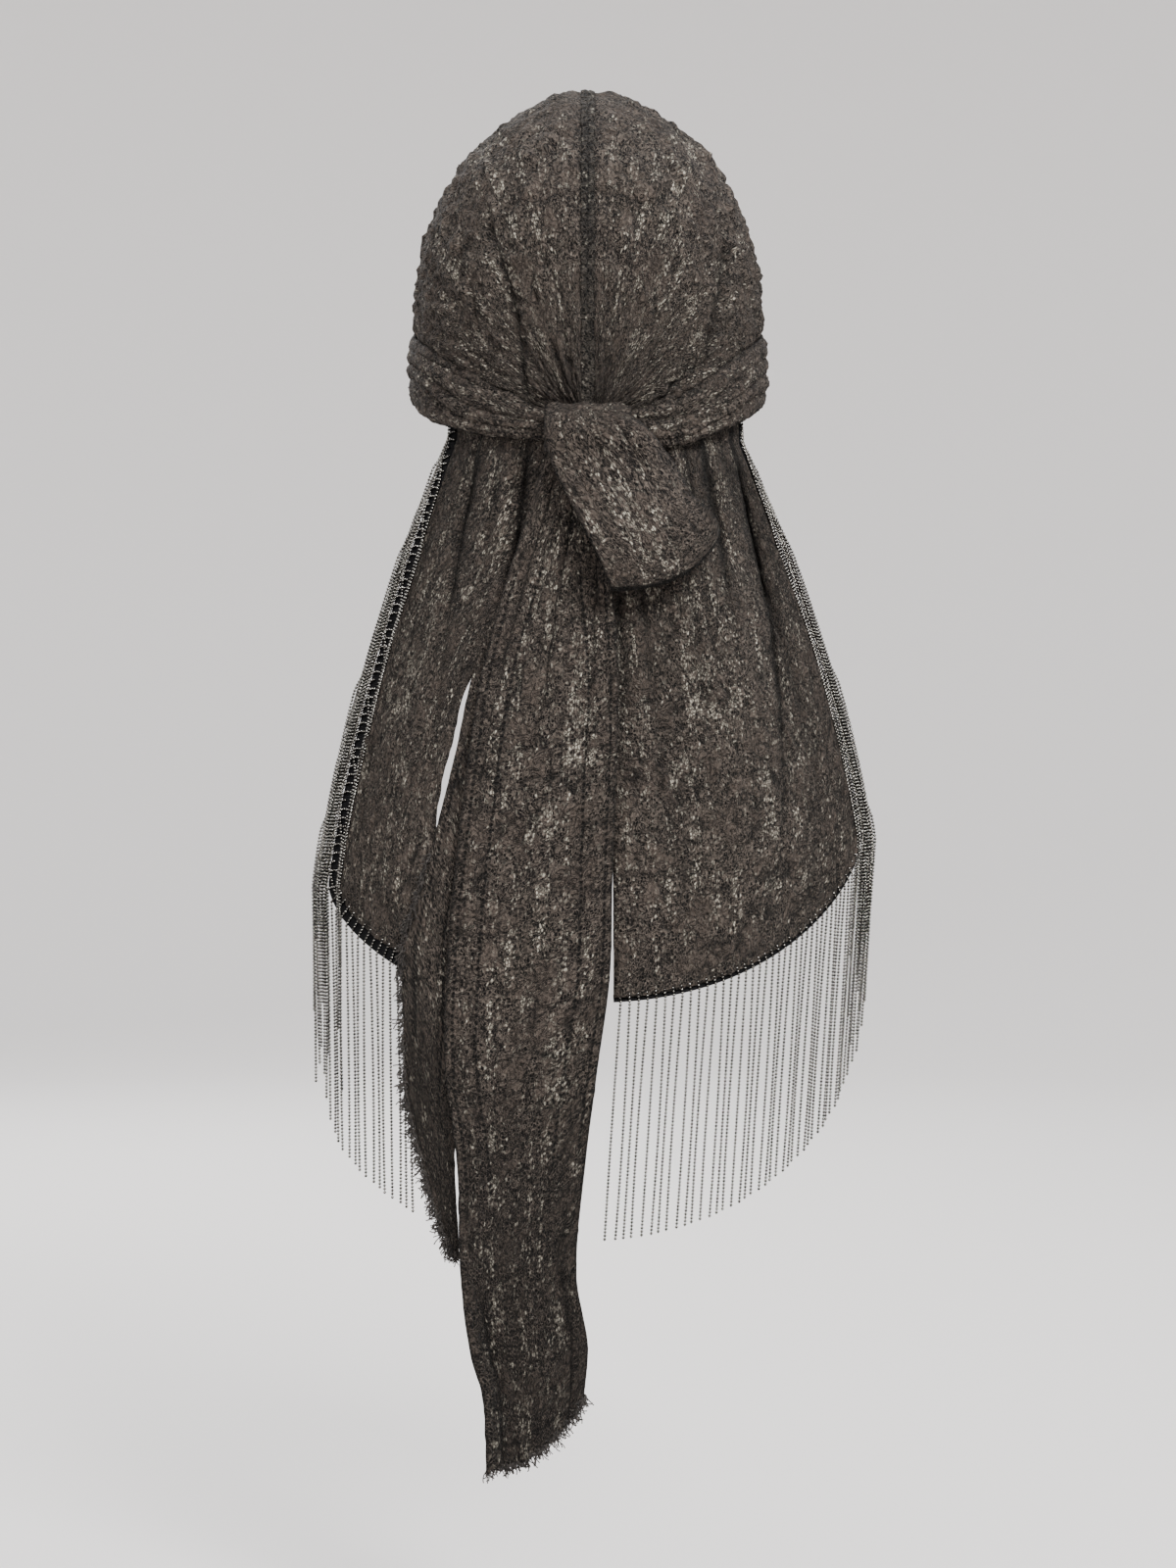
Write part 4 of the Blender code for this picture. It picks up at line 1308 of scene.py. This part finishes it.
@dataclass
class TieEnds:
    """The two free ends of the straps, each with a raw end cut on a slant."""

    straps: Straps
    cape: CapeForm
    finishes: Finishes
    tuck: float = 0.0008
    gap: float = 0.0004
    thickness: float = 0.0011
    solid: float = 0.0015
    long_length: float = 0.477
    long_width: float = 0.076
    long_slant: float = 0.033
    long_curve: float = 2.4
    short_length: float = 0.381
    short_width: float = 0.070
    short_slant: float = 0.074
    short_curve: float = 1.6

    LONG = (
        TailSection(0.00, -0.24, 0.18),
        TailSection(0.05, -0.35, 0.13),
        TailSection(0.15, -0.54, 0.16),
        TailSection(0.24, -0.68, 0.19),
        TailSection(0.43, -0.83, 0.15),
        TailSection(0.52, -0.87, 0.135),
        TailSection(0.61, -0.88, 0.06),
        TailSection(0.71, -0.80, -0.02),
        TailSection(0.81, -0.78, -0.07),
        TailSection(0.88, -0.72, 0.00),
        TailSection(0.93, -0.64, -0.02),
        TailSection(1.00, -0.62, -0.04),
    )
    SHORT = (
        TailSection(0.00, -0.22, 0.14),
        TailSection(0.15, -0.53, 0.08),
        TailSection(0.28, -0.78, -0.03),
        TailSection(0.38, -0.90, -0.11),
        TailSection(0.54, -1.12, -0.28),
        TailSection(0.62, -1.25, -0.43),
        TailSection(0.75, -1.24, -0.78),
        TailSection(0.85, -1.22, -0.89),
        TailSection(1.00, -1.16, -0.866),
    )

    def top(self) -> float:
        """Height of the ends' upper edge, behind the knot's lower edge."""
        middle, half = self.straps.knot_frame()
        return middle + half * math.sin(self.straps.knot_end) + self.tuck

    def point(
        self,
        rows: Sequence[TailSection],
        width: float,
        length: float,
        rise: Callable[[float], float],
        stand: Callable[[float, float], float],
        across: float,
        down: float,
    ) -> Vector:
        """A point on a tie end that hangs on the cape's smooth surface.

        Args:
            rows: The end's outline.
            width: Its width.
            length: Its length.
            rise: How much higher than its lowest point the raw end is, across it.
            stand: How far it stands off the surface, across and down it.
            across: Share of the way across, from the left.
            down: Share of the way down.

        Returns:
            The point.
        """
        fall = (length - rise(across)) * down
        at = fall / length
        height = self.top() - fall
        x = mix(between(rows, at, "left"), between(rows, at, "right"), across) * width
        return Vector((x, self.cape.back(x, height) - stand(across, at), height))

    def ragged(self, across: float, down: float, seed: float) -> float:
        """How far the cut wanders at the raw end, as a share of its length."""
        if down < 0.97:
            return 0.0
        place = Vector((across * 26, seed, 0))
        return (down - 0.97) / 0.03 * 0.004 * (noise.noise(place) + noise.noise(place * 3.1))

    def long_end(self) -> bpy.types.Object:
        """The long end, in front, with soft lengthwise folds near the knot."""

        def rise(across: float) -> float:
            """The raw end is higher on the right."""
            return self.long_slant * across**self.long_curve

        def stand(across: float, at: float) -> float:
            """Waves, folds near the knot and a left edge that curls out near the raw end."""
            wave = 0.0010 * math.sin(2 * math.pi * (across + 0.15 * at)) ** 2 * ramp(at * 2)
            fold = 0.0032 * math.sqrt(abs(math.sin(math.pi * (3 * across + 1.2 * at + 0.3))))
            fold *= (1 - ramp((at - 0.15) / 0.5)) * (0.5 + 0.5 * ramp((at - 0.10) / 0.12))
            swing = 0.0035 * (1 + math.sin(9 * at + 2.5 * across)) * ramp((at - 0.45) * 2)
            curl = 0.0080 * ramp((0.15 - across) / 0.12) * ramp((at - 0.78) / 0.1)
            edge = 0.0012 * ramp((across - 0.93) / 0.07)
            lifted = 0.0026 * ramp((0.12 - across) / 0.12) * ramp((at - 0.18) / 0.15)
            lifted += 0.0014 * ramp((across - 0.86) / 0.05) * ramp((at - 0.74) / 0.08)
            return 2 * self.gap + self.solid + wave + fold + swing + curl + edge + lifted

        def place(across: float, down: float) -> Vector:
            """A point of the end's inner face."""
            down += self.ragged(across, down, 5.0)
            return self.point(
                self.LONG, self.long_width, self.long_length, rise, stand, across, down
            )

        def tone(across: float, down: float) -> Tone:
            """Pale cells along the middle, the rows of holes beside the edges, a dark hem line, and
            painted shade at the edges, in the pleats by the knot, along the curl and towards the
            lower end.
            """
            side = 1 - 0.6 * ramp((abs(across - 0.5) - 0.25) / 0.2)
            width = self.long_width * (
                between(self.LONG, down, "right") - between(self.LONG, down, "left")
            )
            row = min(across, 1 - across) * width if 0.12 < down < 0.74 else 1.0
            # painted shade towards the lower end, which the light reaches less
            low = ramp((down - 0.52) / 0.30)
            lengths = abs((1 - down) * self.long_length - 0.0095)
            inside = min(abs((1 - across) * width - 0.0062), lengths)
            hem = 0.9 * (1 - ramp(inside / 0.0024)) * ramp((down - 0.76) / 0.06)
            curl = 0.95 * math.exp(-(((across - 0.14) / 0.05) ** 2)) * ramp((down - 0.80) / 0.06)
            pleat = 1 - abs(math.sin(math.pi * (3 * across + 1.2 * down + 0.3)))
            pleat = 0.9 * ramp((pleat - 0.70) / 0.3) * (1 - ramp((down - 0.16) / 0.16))
            dark = max(0.5 * low, hem, curl, pleat, rim_shade(across, 0.03, 0.85))
            return Tone(0.9 * side, 0.4 + 0.6 * low, row, dark)

        piece = Cloth(
            name="tail_long_lace",
            cells=(46, 290),
            size=(self.long_width * 0.95, self.long_length),
            place=place,
            material=self.finishes.lace,
            thickness=self.thickness,
            wall=1.0,
            pucker=Pucker(height=0.0016, size=0.0075, seed=51.0),
            tone=tone,
            swell=lambda across, down: 0.35 + 0.65 * ramp(min(across, 1 - across) / 0.05),
        ).make()
        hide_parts("tail_long")
        frays = Frays(self.finishes.thread, seed=7, lean=Vector((0.3, 0, 0))).make(
            "tail_long_frays", [place(k / 60, 1.0) for k in range(61)], 700
        )
        return piece

    def short_end(self) -> bpy.types.Object:
        """The short end, between the long one and the cape."""

        def rise(across: float) -> float:
            """The raw end is much higher on the left."""
            return self.short_slant * (1 - across) ** self.short_curve

        def stand(across: float, at: float) -> float:
            """Close to the cape, and waving a little below it."""
            swing = 0.0020 * (1 + math.sin(11 * at + 4 * across)) * ramp((at - 0.6) * 3)
            return self.gap + swing * (1 - ramp((across - 0.4) / 0.3))

        def place(across: float, down: float) -> Vector:
            """A point of the end's inner face."""
            down += self.ragged(across, down, 11.0)
            return self.point(
                self.SHORT, self.short_width, self.short_length, rise, stand, across, down
            )

        def tone(across: float, down: float) -> Tone:
            """Darker than the long end in painted shade, with the long end's shadow over its right
            part and more towards its lower end, and rows of holes beside its left edge.
            """
            width = self.short_width * (
                between(self.SHORT, down, "right") - between(self.SHORT, down, "left")
            )
            row = across * width if 0.45 < down < 0.85 else 1.0
            low = ramp((down - 0.70) / 0.2)
            # painted shadow of the long end on the right part, painted shade towards the lower end
            dark = max(0.35 * ramp((across - 0.5) / 0.4), 0.42 * low)
            return Tone(0.55 * (1 - 0.4 * low), 0.55 + 0.45 * low, row, dark)

        piece = Cloth(
            name="tail_short_lace",
            cells=(36, 210),
            size=(self.short_width * 0.8, self.short_length),
            place=place,
            material=self.finishes.lace,
            thickness=0.0009,
            wall=1.0,
            pucker=Pucker(height=0.0008, size=0.0075, seed=61.0),
            tone=tone,
        ).make()
        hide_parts("tail_short")
        edge = [place(k / 60, 1.0) for k in range(61)]
        edge += [place(0.0, mix(0.62, 1.0, k / 30)) for k in range(31)]
        frays = Frays(self.finishes.thread, seed=8, lean=Vector((-0.7, 0, 0))).make(
            "tail_short_frays", edge, 1500
        )
        return piece

    def build(self) -> list[bpy.types.Object]:
        """Builds both ends."""
        return [self.long_end(), self.short_end()]


@dataclass
class Frays:
    """Loose threads along a raw edge."""

    material: bpy.types.Material
    seed: int
    radius: float = 0.00026
    shortest: float = 0.0016
    longest: float = 0.0070
    outward: float = 0.0006
    curl: float = 0.0018
    lean: Vector = Vector((0, 0, 0))

    def make(self, name: str, edge: Sequence[Vector], count: int) -> bpy.types.Object:
        """Strews threads along an edge.

        Args:
            name: The piece's name.
            edge: Points along the raw edge.
            count: How many threads.

        Returns:
            One mesh of all the threads, on the root body.
        """
        draw = np.random.default_rng(self.seed)
        lines = []
        for _ in range(count):
            i = int(draw.integers(0, len(edge) - 1))
            start = edge[i].lerp(edge[i + 1], float(draw.random()))
            start = start + Vector((0, -self.outward * float(draw.random() + 0.5), 0.0012))
            length = mix(self.shortest, self.longest, float(draw.random()) ** 2.2)
            course = Vector((float(draw.normal(0, 0.6)), float(draw.normal(-0.2, 0.3)), -1.0))
            course = (course + self.lean).normalized()
            turn = float(draw.uniform(0, 2 * math.pi))
            turns = float(draw.uniform(2.0, 5.0)) * float(draw.choice((-1, 1)))
            wide = self.curl * float(draw.uniform(0.3, 1.0))
            line = []
            for k in range(7):
                t = k / 6
                angle = turn + turns * t
                curl = Vector((math.cos(angle), 0.5 * math.sin(angle), math.sin(angle)))
                line.append(start + course * (length * t) + curl * (wide * t))
            lines.append(line)
        return tube_set(name, lines, self.radius, self.material)


def tube_set(
    name: str,
    lines: Sequence[Sequence[Vector]],
    radius: float,
    material: bpy.types.Material,
) -> bpy.types.Object:
    """Makes one mesh of many thin closed tubes.

    Args:
        name: The piece's name.
        lines: The points of each tube's middle line.
        radius: The tubes' radius.
        material: Their material.

    Returns:
        The mesh object, on the root body.
    """
    curve = bpy.data.curves.new(name, "CURVE")
    curve.dimensions = "3D"
    curve.bevel_depth = radius
    curve.bevel_resolution = 0
    curve.use_fill_caps = True
    for line in lines:
        spline = curve.splines.new("POLY")
        spline.points.add(len(line) - 1)
        for point, place in zip(spline.points, line):
            point.co = (*place, 1)
    holder = bpy.data.objects.new(name + "_curve", curve)
    bpy.context.scene.collection.objects.link(holder)
    view = bpy.context.evaluated_depsgraph_get()
    mesh = bpy.data.meshes.new_from_object(holder.evaluated_get(view))
    bpy.data.objects.remove(holder)
    bpy.data.curves.remove(curve)
    shape = bmesh.new()
    shape.from_mesh(mesh)
    bmesh.ops.remove_doubles(shape, verts=shape.verts, dist=radius / 20)
    bmesh.ops.recalc_face_normals(shape, faces=shape.faces)
    shape.to_mesh(mesh)
    shape.free()
    mesh.name = name
    mesh.materials.clear()
    mesh.materials.append(material)
    mesh.shade_smooth()
    piece = bpy.data.objects.new(name, mesh)
    bpy.context.scene.collection.objects.link(piece)
    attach(piece, ROOT)
    LOG.info("%s: %d tubes", name, len(lines))
    return piece


@dataclass
class Cape:
    """The neck cape in its two halves."""

    form: CapeForm
    finishes: Finishes
    thickness: float = 0.0010

    CELLS = {Side.LEFT: (58, 150), Side.RIGHT: (88, 165)}
    CUTS = {Side.LEFT: ((0.100, 0.270), 0.0155), Side.RIGHT: ((0.160, 0.290), 0.0350)}

    def half(self, side: Side) -> bpy.types.Object:
        """One half of the cape.

        Args:
            side: Which half.

        Returns:
            Its object.
        """
        sign = side.value
        cut, area = self.CUTS[side]

        def place(out: float, down: float) -> Vector:
            """A point of the cape's outer face."""
            return self.form.point(sign, flare(out), down, creases=True)

        def tone(out: float, down: float) -> Tone:
            """Pale cells in columns, open net whose holes show painted shade at the outer edge, the
            hem and the slit, and painted shade in the creases.
            """
            edge = 0.8 * ramp((0.26 - (1 - out)) / 0.2) if side is Side.RIGHT else 0.0
            hem = ramp((down - 0.86) / 0.12)
            slit = ramp((0.30 - out) / 0.3) * ramp((0.62 - down) / 0.2)
            slit = slit if side is Side.LEFT else 0.0
            open_net_shade = max(edge, 0.8 * hem, slit)
            point = place(out, down)
            # painted shade in the cape's folds and creases
            deep = self.form.shade(sign, point.x, point.z)
            return Tone(0.85 * (1 - 0.85 * open_net_shade), 0.35 + 0.65 * open_net_shade, 1.0, 0.9 * deep)

        piece = Cloth(
            name=f"cape_{side.label}_lace",
            cells=self.CELLS[side],
            size=(cut[0], cut[1]),
            place=place,
            material=self.finishes.lace,
            thickness=self.thickness,
            pucker=Pucker(height=0.0017, seed=71.0 + sign),
            tone=tone,
            swell=lambda out, down: ramp(down / 0.06) * ramp(min(out + 0.02, 1 - out) / 0.04),
        ).make()
        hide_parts(f"cape_{side.label}")
        return piece

    def build(self) -> dict[Side, bpy.types.Object]:
        """Builds both halves.

        Returns:
            Each half by its side.
        """
        return {side: self.half(side) for side in Side}


class Edge:
    """The outer edge of one half of the cape, down to its corner and in along the hem."""

    STEPS = 110
    STEP = 0.002

    def __init__(self, form: CapeForm, side: Side) -> None:
        """Walks the edge and measures it.

        Args:
            form: The cape's form.
            side: Which half.
        """
        self.form, self.side = form, side.value
        down = [(1.0, k / self.STEPS) for k in range(self.STEPS + 1)]
        along = [(flare(1.0 - k / self.STEPS), 1.0) for k in range(1, self.STEPS + 1)]
        self.points = [form.point(side.value, *place) for place in down + along]
        self.marks = [0.0]
        for before, after in zip(self.points, self.points[1:]):
            self.marks.append(self.marks[-1] + (after - before).length)
        self.corner = self.marks[self.STEPS]
        self.length = self.marks[-1]

    def at(self, distance: float) -> Vector:
        """The edge's point at a distance from the strap."""
        distance = min(max(distance, 0.0), self.length)
        i = min(int(np.searchsorted(self.marks, distance)), len(self.marks) - 1)
        i = max(i, 1)
        share = (distance - self.marks[i - 1]) / (self.marks[i] - self.marks[i - 1])
        return self.points[i - 1].lerp(self.points[i], share)

    def axes(self, distance: float) -> tuple[Vector, Vector, Vector]:
        """The edge's point there, the way off the cloth and the cloth's outward normal."""
        point = self.at(distance)
        along = (self.at(distance + self.STEP) - self.at(distance - self.STEP)).normalized()
        step = self.STEP
        back = self.form.back
        normal = Vector(
            (
                back(point.x + step, point.z) - back(point.x - step, point.z),
                -2 * step,
                back(point.x, point.z + step) - back(point.x, point.z - step),
            )
        ).normalized()
        return point, normal.cross(along).normalized() * self.side, normal

    def off(self, distance: float, out: float, lift: float) -> Vector:
        """A point out from the edge, lifted off the cloth's middle."""
        point, off, normal = self.axes(distance)
        return point + off * out + normal * lift


@dataclass
class BallChain:
    """Fine ball chain: round beads on a thin wire."""

    material: bpy.types.Material
    bead: float = 0.00158
    pitch: float = 0.00164
    wire: float = 0.00014
    bead_end_from: float = 0.9

    def beads_on(self, line: Sequence[Vector]) -> np.ndarray:
        """Bead centres along a line, a pitch apart.

        Args:
            line: The chain's points.

        Returns:
            An array with a row for each bead.
        """
        points = np.array([tuple(point) for point in line])
        steps = np.linalg.norm(np.diff(points, axis=0), axis=1)
        marks = np.concatenate([[0.0], np.cumsum(steps)])
        places = np.arange(0.0, marks[-1], self.pitch)
        return np.stack([np.interp(places, marks, points[:, k]) for k in range(3)], axis=1)

    def make(self, name: str, lines: Sequence[Sequence[Vector]]) -> bpy.types.Object:
        """Makes the beads of all the chains as one mesh.

        Args:
            name: The piece's name.
            lines: The points of each chain.

        Returns:
            The mesh object, on the root body.
        """
        places = np.concatenate([self.beads_on(line) for line in lines])
        unit = bmesh.new()
        bmesh.ops.create_icosphere(unit, subdivisions=1, radius=self.bead / 2)
        corners = np.array([tuple(vertex.co) for vertex in unit.verts])
        faces = np.array([[vertex.index for vertex in face.verts] for face in unit.faces])
        unit.free()
        vertices = (corners[None] + places[:, None]).reshape(-1, 3)
        starts = np.arange(len(places))[:, None, None] * len(corners)
        triangles = (faces[None] + starts).reshape(-1, 3)
        mesh = bpy.data.meshes.new(name)
        mesh.from_pydata(vertices.tolist(), [], triangles.tolist())
        # bead ends, which the finish paints dark: joints and a painted dark rim
        ends = np.abs(corners[:, 2]) > self.bead_end_from * self.bead / 2
        joint = mesh.attributes.new("joint", "FLOAT", "POINT")
        joint.data.foreach_set("value", np.tile(ends.astype(np.float32), len(places)))
        mesh.materials.append(self.material)
        mesh.shade_smooth()
        piece = bpy.data.objects.new(name, mesh)
        bpy.context.scene.collection.objects.link(piece)
        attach(piece, ROOT)
        LOG.info("%s: %d beads on %d chains", name, len(places), len(lines))
        return piece


@dataclass
class Trim:
    """The black tape on the cape's edge, and the chains that hang from it."""

    form: CapeForm
    finishes: Finishes
    gap: float = 0.0004
    lace: float = 0.0013
    tape: float = 0.0008
    pitch: float = 0.0043
    length: float = 0.116
    lane: float = 0.00135
    rest: float = 0.0007
    lap: float = 0.0012

    SHOWS = {Side.LEFT: 0.0062, Side.RIGHT: 0.0022}
    LEANS = {Side.LEFT: 0.012, Side.RIGHT: -0.066}
    LANES = {Side.LEFT: 8, Side.RIGHT: 8}

    def ribbon(self, side: Side, edge: Edge) -> bpy.types.Object:
        """The tape."""
        shows = self.SHOWS[side]

        def place(along: float, across: float) -> Vector:
            """A point of the tape's outer face."""
            out = mix(-self.lap, shows, across)
            lift = mix(-self.lace, 0.0, ramp(out / self.lap))
            return edge.off(edge.length * along, out, lift)

        piece = Cloth(
            name=f"tape_{side.label}_ribbon",
            cells=(260, 8),
            size=(edge.length, shows),
            place=place,
            material=self.finishes.tape,
            thickness=self.tape,
            pucker=Pucker(height=0.00015, size=0.004),
        ).make()
        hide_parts(f"tape_{side.label}")
        return piece

    def along_edge(self, side: Side, edge: Edge, mark: float, number: int) -> list[Vector]:
        """A chain that lies along the outer edge and falls free below the corner.

        Args:
            side: Which half.
            edge: The cape's edge.
            mark: Where the chain is sewn on.
            number: The chain's number, which sets its lane in the bundle.

        Returns:
            The chain's points.
        """
        shows = self.SHOWS[side]
        lanes = self.LANES[side]
        spread = ramp(mark / edge.corner)
        inner = number % 7 == 3
        lane = (number * 5) % lanes
        target = shows + self.gap + self.lane * (0.4 + lane * mix(0.45, 0.9, spread))
        if inner:
            target = -0.0004 - 0.0014 * ((number // 7) % 2)
        lift = self.rest + 0.0011 * ((number // lanes) % 2) * (not inner)
        start = 0.0014 if not inner else shows * 0.6
        fall = Vector((self.LEANS[side], 0, -1)).normalized()
        sway = 0.0005 * math.sin(number * 2.4)
        line = []
        for k in range(37):
            run = self.length * k / 36
            crossing = min(run / shows, 1.0)
            past = max(run - shows * 0.8, 0.0)
            here = min(mark + past, edge.corner)
            settle = ramp(past / 0.026)
            out = mix(mix(start, shows, crossing), target, settle)
            point = edge.off(here, out + sway * math.sin(run * 60), mix(self.rest, lift, settle))
            free = max(mark + past - edge.corner, 0.0)
            line.append(point + fall * free)
        return line

    def below_hem(self, side: Side, edge: Edge, mark: float, number: int) -> list[Vector]:
        """A chain that hangs from the hem, starting on the tape."""
        shows = self.SHOWS[side]
        fall = Vector((self.LEANS[side], 0, -1)).normalized()
        top = edge.off(mark, -0.0012, 0.0006)
        rim = edge.off(mark, shows + self.gap, 0.0003)
        swing = 0.0009 * math.sin(number * 1.7)
        line = [top, top.lerp(rim, 0.5) + Vector((0, -0.0002, 0)), rim]
        for k in range(1, 21):
            run = (self.length - 0.004) * k / 20
            drift = Vector((swing * math.sin(run * 22), -0.0006 * math.sin(run * 13), 0))
            line.append(rim + fall * run + drift)
        return line

    def chains(self, side: Side, edge: Edge) -> list[bpy.types.Object]:
        """All the chains of one half: their beads, and their wires."""
        lines = []
        count = int(edge.corner / self.pitch)
        for number in range(count):
            lines.append(self.along_edge(side, edge, (number + 0.5) * self.pitch, number))
        hem = edge.length - edge.corner
        below = round(hem / self.pitch)
        for number in range(below):
            mark = edge.corner + hem * (2 * number + 0.5) / (2 * below)
            lines.append(self.below_hem(side, edge, mark, number))
        chain = BallChain(self.finishes.chain)
        piece = chain.make(f"fringe_{side.label}_beads", lines)
        wires = tube_set(
            f"fringe_{side.label}_wires", lines, chain.wire, self.finishes.wire
        )
        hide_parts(f"fringe_{side.label}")
        return [piece, wires]

    def build(self, capes: dict[Side, bpy.types.Object]) -> list[bpy.types.Object]:
        """Builds the trim of both halves.

        Args:
            capes: The halves of the cape.

        Returns:
            The trim's pieces.
        """
        made = []
        for side, cape in capes.items():
            edge = Edge(self.form, side)
            trim = [self.ribbon(side, edge), *self.chains(side, edge)]
            made += trim
        return made


@dataclass
class Studio:
    """Pale floor with a curved backdrop all round, soft lights and the camera."""

    camera_place: tuple[float, float, float] = (0.0, -1.4, -0.2015)
    lens: float = 63.0
    sensor: float = 36.0
    floor: float = -0.62
    radius: float = 4.2
    sweep: float = 1.6
    height: float = 2.2
    horizon: tuple[float, float, float] = (0.10, 0.10, 0.105)
    zenith: tuple[float, float, float] = (1.35, 1.34, 1.36)

    def backdrop(self) -> None:
        """Turns the floor's outline, a line and an arc, once round."""
        shape = bmesh.new()
        flat = self.radius - self.sweep
        outline = [(0.02, 0.0), (flat * 0.5, 0.0), (flat, 0.0)]
        for k in range(1, 13):
            angle = math.pi / 2 * k / 12
            outline.append(
                (flat + self.sweep * math.sin(angle), self.sweep * (1 - math.cos(angle)))
            )
        outline.append((self.radius, self.height))
        verts = [shape.verts.new((x, 0, self.floor + z)) for x, z in outline]
        edges = [shape.edges.new(pair) for pair in zip(verts, verts[1:])]
        bmesh.ops.spin(
            shape,
            geom=verts + edges,
            axis=(0, 0, 1),
            cent=(0, 0, 0),
            angle=2 * math.pi,
            steps=96,
            use_merge=True,
        )
        hole = [edge for edge in shape.edges if edge.is_boundary and edge.verts[0].co.z < 0]
        bmesh.ops.holes_fill(shape, edges=hole)
        bmesh.ops.recalc_face_normals(shape, faces=shape.faces)
        bmesh.ops.reverse_faces(shape, faces=shape.faces)
        mesh = bpy.data.meshes.new("floor")
        shape.to_mesh(mesh)
        shape.free()
        mesh.shade_smooth()
        material = bpy.data.materials.new("pale_floor")
        material.use_nodes = True
        shader = material.node_tree.nodes["Principled BSDF"]
        shader.inputs["Base Color"].default_value = (0.82, 0.80, 0.785, 1)
        shader.inputs["Roughness"].default_value = 0.9
        mesh.materials.append(material)
        floor = bpy.data.objects.new("floor", mesh)
        bpy.context.scene.collection.objects.link(floor)
        floor.visible_glossy = False

    def light(
        self, name: str, place: tuple[float, float, float], size: float, power: float
    ) -> None:
        """A soft square light that faces the turban."""
        lamp = bpy.data.lights.new(name, "AREA")
        lamp.size = size
        lamp.energy = power
        holder = bpy.data.objects.new(name, lamp)
        holder.location = place
        aim = Vector((0, 0, -0.15)) - Vector(place)
        holder.rotation_euler = aim.to_track_quat("-Z", "Y").to_euler()
        holder.visible_camera = False
        bpy.context.scene.collection.objects.link(holder)

    def build(self) -> None:
        """Sets up the stage, the lights and the camera."""
        self.backdrop()
        self.light("key", (0.75, -1.5, 1.0), 0.6, 44.0)
        self.light("fill", (-2.0, -1.8, 0.4), 1.6, 12.0)
        self.light("top", (0.3, 0.4, 2.1), 1.6, 18.0)
        self.light("rear", (-0.8, 1.9, 1.0), 1.2, 34.0)
        world = bpy.data.worlds.new("studio")
        world.use_nodes = True
        graph = Graph(world.node_tree)
        way = graph.node("ShaderNodeTexCoord").outputs["Generated"]
        height = graph.node("ShaderNodeSeparateXYZ", {0: way}).outputs[2]
        sky = graph.blend(
            graph.step(height, -0.1, 0.6), (*self.horizon, 1), (*self.zenith, 1)
        )
        glow = graph.node("ShaderNodeBackground", {"Color": sky})
        graph.node("ShaderNodeOutputWorld", {"Surface": glow.outputs[0]})
        bpy.context.scene.world = world
        lens = bpy.data.cameras.new("camera")
        lens.lens = self.lens
        lens.sensor_width = self.sensor
        lens.clip_start = 0.05
        camera = bpy.data.objects.new("camera", lens)
        camera.location = self.camera_place
        camera.rotation_euler = (math.pi / 2, 0, 0)
        bpy.context.scene.collection.objects.link(camera)
        bpy.context.scene.camera = camera


def main() -> None:
    """Builds and dresses the turban, piece by piece."""
    logging.basicConfig(level=logging.INFO, format="%(name)s %(message)s")
    Studio().build()
    head, cape = HeadForm(), CapeForm()
    finishes = Finishes()
    straps = Straps(head, finishes)
    made = Crown(head, finishes, straps).build()
    made += straps.build()
    made += BowLoop(straps, cape, finishes).build()
    made += TieEnds(straps, cape, finishes).build()
    halves = Cape(cape, finishes).build()
    made += [*halves.values(), *Trim(cape, finishes).build(halves)]
    LOG.info("%d pieces", len(made))


if __name__ == "__main__":
    main()
